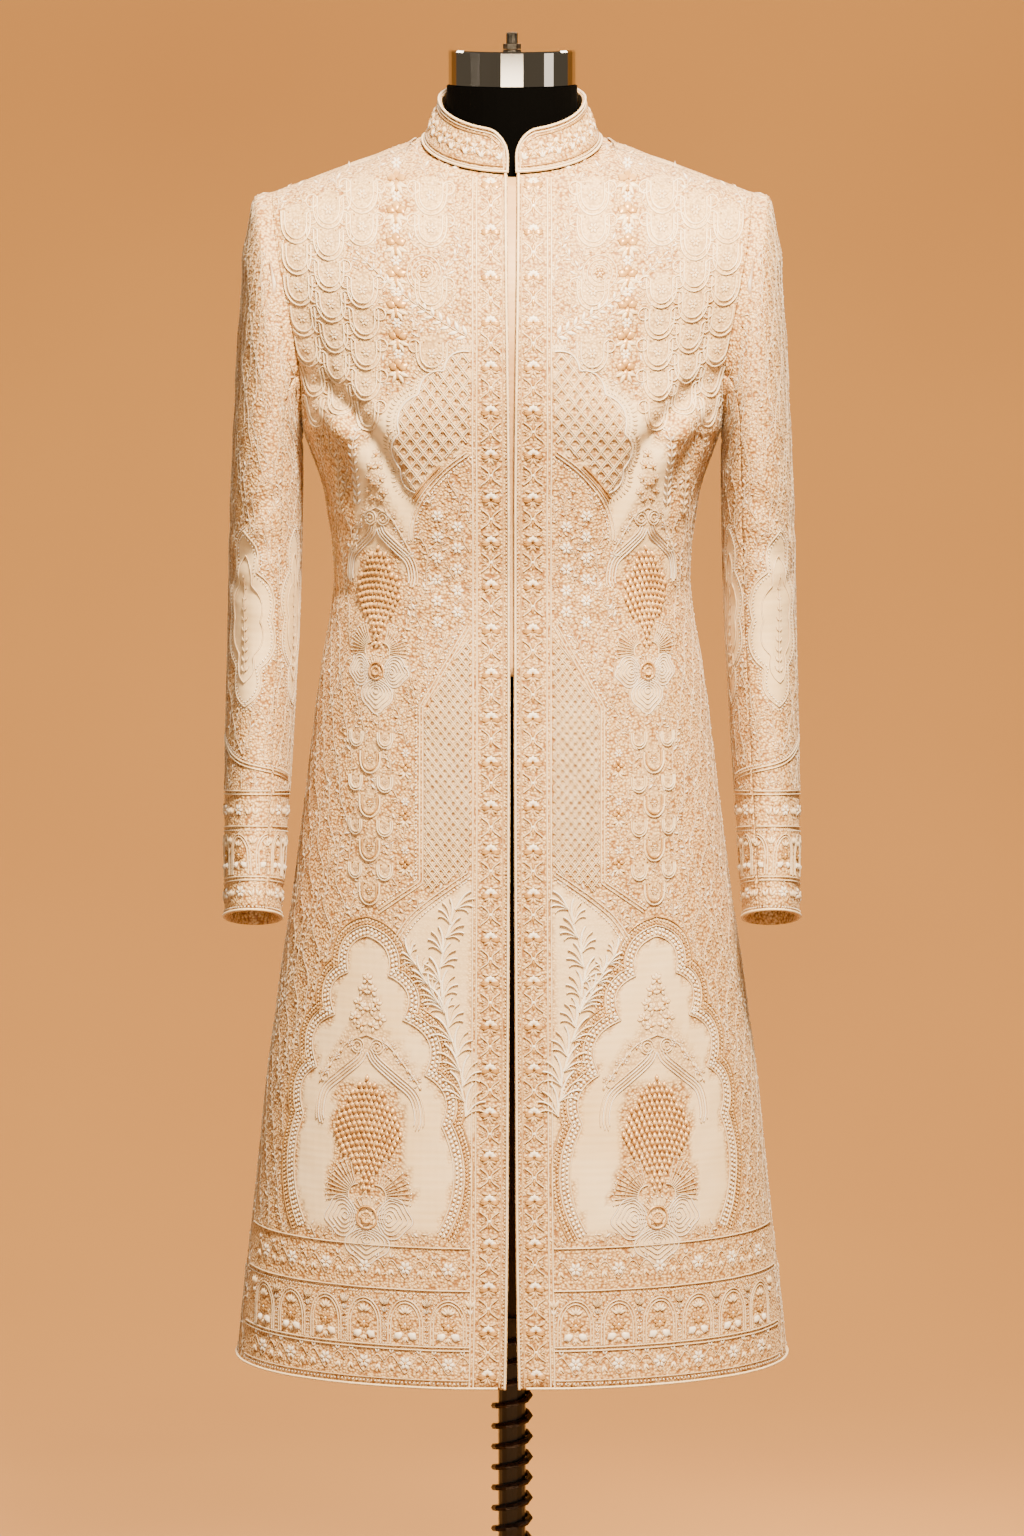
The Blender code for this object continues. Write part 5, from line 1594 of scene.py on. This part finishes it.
# The columns are the panel, its pieces' names with a place for the hand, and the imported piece.
PANELS = (
    (fronts, "front_{}", "front_{}"),
    (backs, "back_{}_half", "back"),
    (sleeve_upper, "sleeve_{}_upper", "sleeve_{}_upper"),
    (sleeve_under, "sleeve_{}_under", "sleeve_{}_under"),
    (collars, "collar_{}_half", "collar"),
)
HANDS = ("left", "right")
for panel, name, node in PANELS:
    make_panel(panel, [name.format(hand) for hand in HANDS])

# %% [markdown]
# ## Underlap and piping
# A strip of tan satin is stitched inside the opening so that nothing shows between the fronts.
# Every free edge is finished with a twisted cord, whose ridges run round it like a rope's: the
# radius rises and falls along a helix, which catches light in small slanting dashes.

# %% Underlap
UNDERLAP_HALF_WIDTH = 0.0120
UNDERLAP_WALL = 0.0014
UNDERLAP_BEHIND = 0.0029
UNDERLAP_TUCK = 0.011
underlap_low, underlap_high = (corner[2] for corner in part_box("underlap"))
centre_rows = [r for r in range(len(front_flat)) if underlap_low < front_flat[r, 0, 2] < underlap_high]
centre_line = front_flat[centre_rows, 0] * (0, 1, 1)
centre_facing = unit(front_normals[centre_rows, 0] * (0, 1, 1))
centre_line = centre_line - centre_facing * UNDERLAP_BEHIND
last_step = centre_line[-1] - centre_line[-2]
reach_up = UNDERLAP_TUCK / np.linalg.norm(last_step)
centre_line = np.vstack((centre_line, centre_line[-1] + last_step * reach_up))
offsets = np.linspace(-UNDERLAP_HALF_WIDTH, UNDERLAP_HALF_WIDTH, 9)
underlap_grid = np.stack([centre_line + np.array((o, abs(o) * 0.10, 0.0)) for o in offsets], axis=1)
underlap_normals = grid_normals(underlap_grid)
underlap_piece = mesh_piece("underlap_strip", *wall_arrays(underlap_grid, underlap_normals, UNDERLAP_WALL),
                            underlap_silk, "underlap_cloth")
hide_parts("underlap")

# %% Twisted piping
PIPING_RADIUS = 0.0012
PIPING_STEP = 0.0016
PIPING_LAY = 0.0060
PIPING_SIDES = 6


def twisted_cord(name, node, path, facing, mirror=False, closed=False):
    """Two-ply cord along a path, its section pushed out along a helix, with painted shade on its flanks."""
    path, facing = np.asarray(path, float), np.asarray(facing, float)
    if closed:
        path, facing = np.vstack((path, path[:1])), np.vstack((facing, facing[:1]))
    length = np.concatenate(((0,), np.cumsum(np.linalg.norm(np.diff(path, axis=0), axis=1))))
    count = int(length[-1] / PIPING_STEP)
    wanted = np.linspace(0, length[-1], count)
    path = np.column_stack([np.interp(wanted, length, path[:, k]) for k in range(3)])
    facing = unit(np.column_stack([np.interp(wanted, length, facing[:, k]) for k in range(3)]))
    ahead = unit(np.gradient(path, axis=0))
    aside = unit(np.cross(ahead, facing))
    lift = np.cross(aside, ahead)
    turn = np.arange(PIPING_SIDES) * math.tau / PIPING_SIDES
    phase = turn[None] * 2 - wanted[:, None] * math.tau / PIPING_LAY * 2
    radius = PIPING_RADIUS * (1 + 0.16 * np.cos(phase))[..., None]
    ring = (path + facing * PIPING_RADIUS)[:, None] + radius * (
        np.cos(turn)[None, :, None] * aside[:, None] + np.sin(turn)[None, :, None] * lift[:, None])
    index = np.arange(count * PIPING_SIDES).reshape(count, PIPING_SIDES)
    following = np.roll(index, -1, axis=1)
    faces = np.stack((index[:-1], following[:-1], following[1:], index[1:]), -1).reshape(-1, 4)
    ends = np.array([index[0, [3, 2, 1, 0]], index[0, [5, 4, 3, 0]], index[-1, [0, 1, 2, 3]],
                     index[-1, [0, 3, 4, 5]]])
    # Painted shade: proud is low on the cord's flanks, so the thread material darkens them towards its foot
    # colour.
    proud = np.tile(0.35 + 0.9 * np.abs(np.sin(turn)), count)
    piece = mesh_piece(name, ring.reshape(-1, 3), np.vstack((faces, ends)), THREADS["cream"], "coat_trim",
                       mirror, proud=proud)
    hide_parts(node)
    print(f"{name}: {length[-1] * 1000:.0f} mm")


CORD_ABOVE_EDGE = 0.0013
CORD_BESIDE_OPENING = 0.0016
rise = np.array((0.0, 0.0, CORD_ABOVE_EDGE))
last_centre_row = BODY_ROWS - 1 + YOKE_ROWS - NECK_ROWS
both = ((False, "left"), (True, "right"))
for mirror, hand in both:
    twisted_cord("cord_edge_" + hand, "piping_edge_" + hand,
                 front_cloth[:last_centre_row, 0] + (CORD_BESIDE_OPENING, 0, 0),
                 front_normals[:last_centre_row, 0], mirror)
    twisted_cord("cord_hem_" + hand, "piping_hem_" + hand, front_cloth[0, 1:] + rise, front_normals[0, 1:],
                 mirror)
    cuff = sleeve_cloth[-1, :-1] + unit(sleeve_cloth[-2] - sleeve_cloth[-1])[:-1] * CORD_ABOVE_EDGE
    twisted_cord("cord_cuff_" + hand, "piping_cuff_" + hand, cuff, sleeve_normals[-1, :-1], mirror, True)


def across_centre(path):
    """A path that ends on the centre line, carried on to the coat's other side."""
    return np.vstack((path, (path * (-1.0, 1.0, 1.0))[-2::-1]))


twisted_cord("cord_hem_back", "piping_hem_back", across_centre(back_cloth[0]) + rise,
             across_centre(back_normals[0]))
collar_path = np.vstack((collar_flat[:, 0], collar_flat[-1, 1:]))
collar_facing = np.vstack((collar_normals[:, 0], collar_normals[-1, 1:]))
twisted_cord("cord_collar", "piping_collar", across_centre(collar_path), across_centre(collar_facing))
twisted_cord("cord_neck", "piping_neck", across_centre(collar_flat[0] + rise),
             across_centre(collar_normals[0]))
print("cords:", sum(name.startswith("cord_") for name in made))

# %% [markdown]
# ## The form and its stand
# The form is covered in close black jersey, the neck cap is polished chrome, the pole and base
# are satin black enamel and the spring is oiled dark steel.  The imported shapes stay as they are
# and only take a better finish through their slots.

# %% Hard materials
def plain_finish(name, light, dark, roughness, metallic=0.0, grain=60.0, coat=0.0, bump=0.0, specular=0.5):
    """Uniform finish with a slight change of tone and a fine surface."""
    material, tree, shader = new_material(name)
    place = add_node(tree, "ShaderNodeTexCoord").outputs["Object"]
    noise = add_node(tree, "ShaderNodeTexNoise", None, Vector=place, Scale=grain, Detail=3.0)
    set_inputs(tree, shader, Base_Color=ramp(tree, noise.outputs["Fac"], ((0.35, dark), (0.7, light))))
    if bump:
        relief = add_node(tree, "ShaderNodeBump", None, Height=noise.outputs["Fac"], Strength=bump,
                          Distance=0.0004)
        set_inputs(tree, shader, Normal=relief.outputs["Normal"])
    set_inputs(tree, shader, Roughness=roughness, Metallic=metallic, Coat_Weight=coat,
               Specular_IOR_Level=specular)
    return material


HARD_FINISHES = {
    "form_cover": plain_finish("black_jersey_cover", "020202", "010101", 0.95, grain=900.0, bump=0.3,
                               specular=0.04),
    "cap_chrome": plain_finish("polished_chrome", "E8E8E6", "D8D8D6", 0.06, 1.0, grain=5.0),
    "finial_metal": plain_finish("turned_gunmetal", "8A8680", "5E5A55", 0.28, 1.0, grain=200.0, bump=0.1),
    "stand_paint": plain_finish("satin_black_enamel", "1B1815", "12100E", 0.35, coat=0.3, grain=400.0,
                                bump=0.08),
    "spring_steel": plain_finish("oiled_spring_steel", "4A3D35", "2A211C", 0.35, 0.9, grain=300.0, bump=0.1),
}
HARD_NODES = {
    "form_cover": ("form_torso",),
    "cap_chrome": ("neck_cap",),
    "finial_metal": ("finial_nut", "finial_stud"),
    "stand_paint": ("form_plate", "pole", "stop_upper", "stop_lower", "hub", "base"),
    "spring_steel": ("spring",),
}
for slot_name, nodes in HARD_NODES.items():
    for node in nodes:
        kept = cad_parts[node]
        kept.data.materials.clear()
        kept.data.materials.append(HARD_FINISHES[slot_name])

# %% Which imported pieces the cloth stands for
for panel, name, node in PANELS:
    for hand in HANDS:
        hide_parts(node.format(hand))

# %% [markdown]


# %% [markdown]
# ## Studio
# A warm tan floor curves up into the backdrop.  A soft light hangs high in front, two weaker ones
# stand at the sides to model the cords and roll off the chrome, and a low wide strip behind the
# stand brightens the floor.  The camera looks slightly down from well back, so that the coat keeps
# its true proportions.

# %% Stage, lights and camera
def stage_material():
    """Matt tan backdrop paper, which lets the light through from behind."""
    material, tree, shader = new_material("backdrop_paper_warm")
    place = add_node(tree, "ShaderNodeTexCoord").outputs["Object"]
    noise = add_node(tree, "ShaderNodeTexNoise", None, Vector=place, Scale=1.3, Detail=2.0)
    paper = ramp(tree, noise.outputs["Fac"], ((0.3, "744E1C"), (0.7, "79531F")))
    set_inputs(tree, shader, Base_Color=paper, Roughness=0.9)
    behind = add_node(tree, "ShaderNodeNewGeometry").outputs["Backfacing"]
    clear = add_node(tree, "ShaderNodeBsdfTransparent")
    one_sided = add_node(tree, "ShaderNodeMixShader", None, i0=behind, i1=shader.outputs["BSDF"],
                         i2=clear.outputs["BSDF"])
    set_inputs(tree, tree.nodes["Material Output"], Surface=one_sided.outputs["Shader"])
    return material


def backdrop():
    """Floor and wall in one sweep."""
    profile = [(-6.0, 0.0), (1.6, 0.0)]
    profile += [(1.6 + 1.4 * math.sin(t), 1.4 * (1 - math.cos(t)))
                for t in np.linspace(0.1, math.pi / 2, 14)]
    profile += [(3.0, 6.0)]
    rows = np.array([[(x, y, z) for x in (-7.0, 7.0)] for y, z in profile])
    mesh = bpy.data.meshes.new("backdrop")
    faces = [(2 * i, 2 * i + 1, 2 * i + 3, 2 * i + 2) for i in range(len(profile) - 1)]
    mesh.from_pydata(rows.reshape(-1, 3).tolist(), [], faces)
    for polygon in mesh.polygons:
        polygon.use_smooth = True
    mesh.materials.append(stage_material())
    sweep = bpy.data.objects.new("backdrop", mesh)
    scene.collection.objects.link(sweep)


def area_light(name, place, aim, size, power, colour):
    """Soft rectangular light aimed at a point."""
    lamp = bpy.data.lights.new(name, "AREA")
    lamp.shape = "RECTANGLE"
    lamp.size, lamp.size_y = size
    lamp.energy = power
    lamp.color = linear(colour)[:3]
    item = bpy.data.objects.new(name, lamp)
    item.location = place
    item.rotation_euler = (Vector(aim) - Vector(place)).to_track_quat("-Z", "Y").to_euler()
    item.visible_camera = False
    scene.collection.objects.link(item)


FLAG_PLACE = (-2.9, 1.6)     # in front of the coat, and up
FLAG_SIZE = (0.42, 1.1)
FLAG_ASIDE = 0.95


def flag(name, x):
    """Black card out of view that gives the chrome its dark upright bands."""
    bpy.ops.mesh.primitive_plane_add(size=1.0, location=(x, *FLAG_PLACE), rotation=(math.pi / 2, 0, 0))
    card = bpy.context.object
    card.name = name
    card.scale = (*FLAG_SIZE, 1)
    card.visible_camera = False
    card.data.materials.append(plain_finish("black_flag_cloth", "0A0A0A", "050505", 0.9))


backdrop()
flag("flag_left", -FLAG_ASIDE)
flag("flag_right", FLAG_ASIDE)
# The columns are name, place, aim, size in metres, power in watts and colour.
LIGHTS = (
    ("key_high_front", (0.45, -1.9, 3.7), (0, 0, 0.9), (0.6, 0.5), 650, "FFE4BE"),
    ("side_left", (-2.6, -1.4, 1.7), (0, 0, 1.1), (0.7, 2.2), 14, "FFEBD4"),
    ("side_right", (2.6, -1.2, 1.6), (0, 0, 1.1), (0.7, 2.2), 9, "FFEBD4"),
    ("low_fill", (0.0, -4.2, 0.9), (0, 0, 0.8), (1.6, 1.0), 46, "FFE4C0"),
    ("floor_wash", (0.0, 1.3, 2.6), (0, 2.2, 0.0), (3.0, 0.8), 120, "FFEBD0"),
    ("floor_glow", (0.0, 0.75, 0.75), (0, 1.6, 0.0), (3.0, 0.3), 105, "FFEBD0"),
    ("back_soft", (0.3, 2.5, 3.3), (0, 0, 1.0), (1.0, 0.6), 22, "FFF1DF"),
    ("backdrop_wash", (0.0, 1.2, 3.2), (0, 3.0, 1.6), (3.0, 0.8), 40, "FFE8CC"),
)
for row in LIGHTS:
    area_light(*row)
world = bpy.data.worlds.new("studio")
world.use_nodes = True
set_inputs(world.node_tree, world.node_tree.nodes["Background"], Color=linear("D8C0A0"), Strength=0.15)
scene.world = world

CAMERA_LENS = 190.1
CAMERA_PLACE = (0.0, -7.234, 1.958)
CAMERA_DOWN = 7.74           # degrees below level
camera = bpy.data.cameras.new("camera")
camera.sensor_width = 36.0
camera.lens = CAMERA_LENS
camera.clip_end = 60.0
eye = bpy.data.objects.new("camera", camera)
eye.location = CAMERA_PLACE
eye.rotation_euler = (math.radians(90 - CAMERA_DOWN), 0.0, 0.0)
scene.collection.objects.link(eye)
scene.camera = eye

# %% Finish
total = sum(len(polygon.vertices) - 2 for o in made.values() for polygon in o.data.polygons)
print("triangles in all:", total)
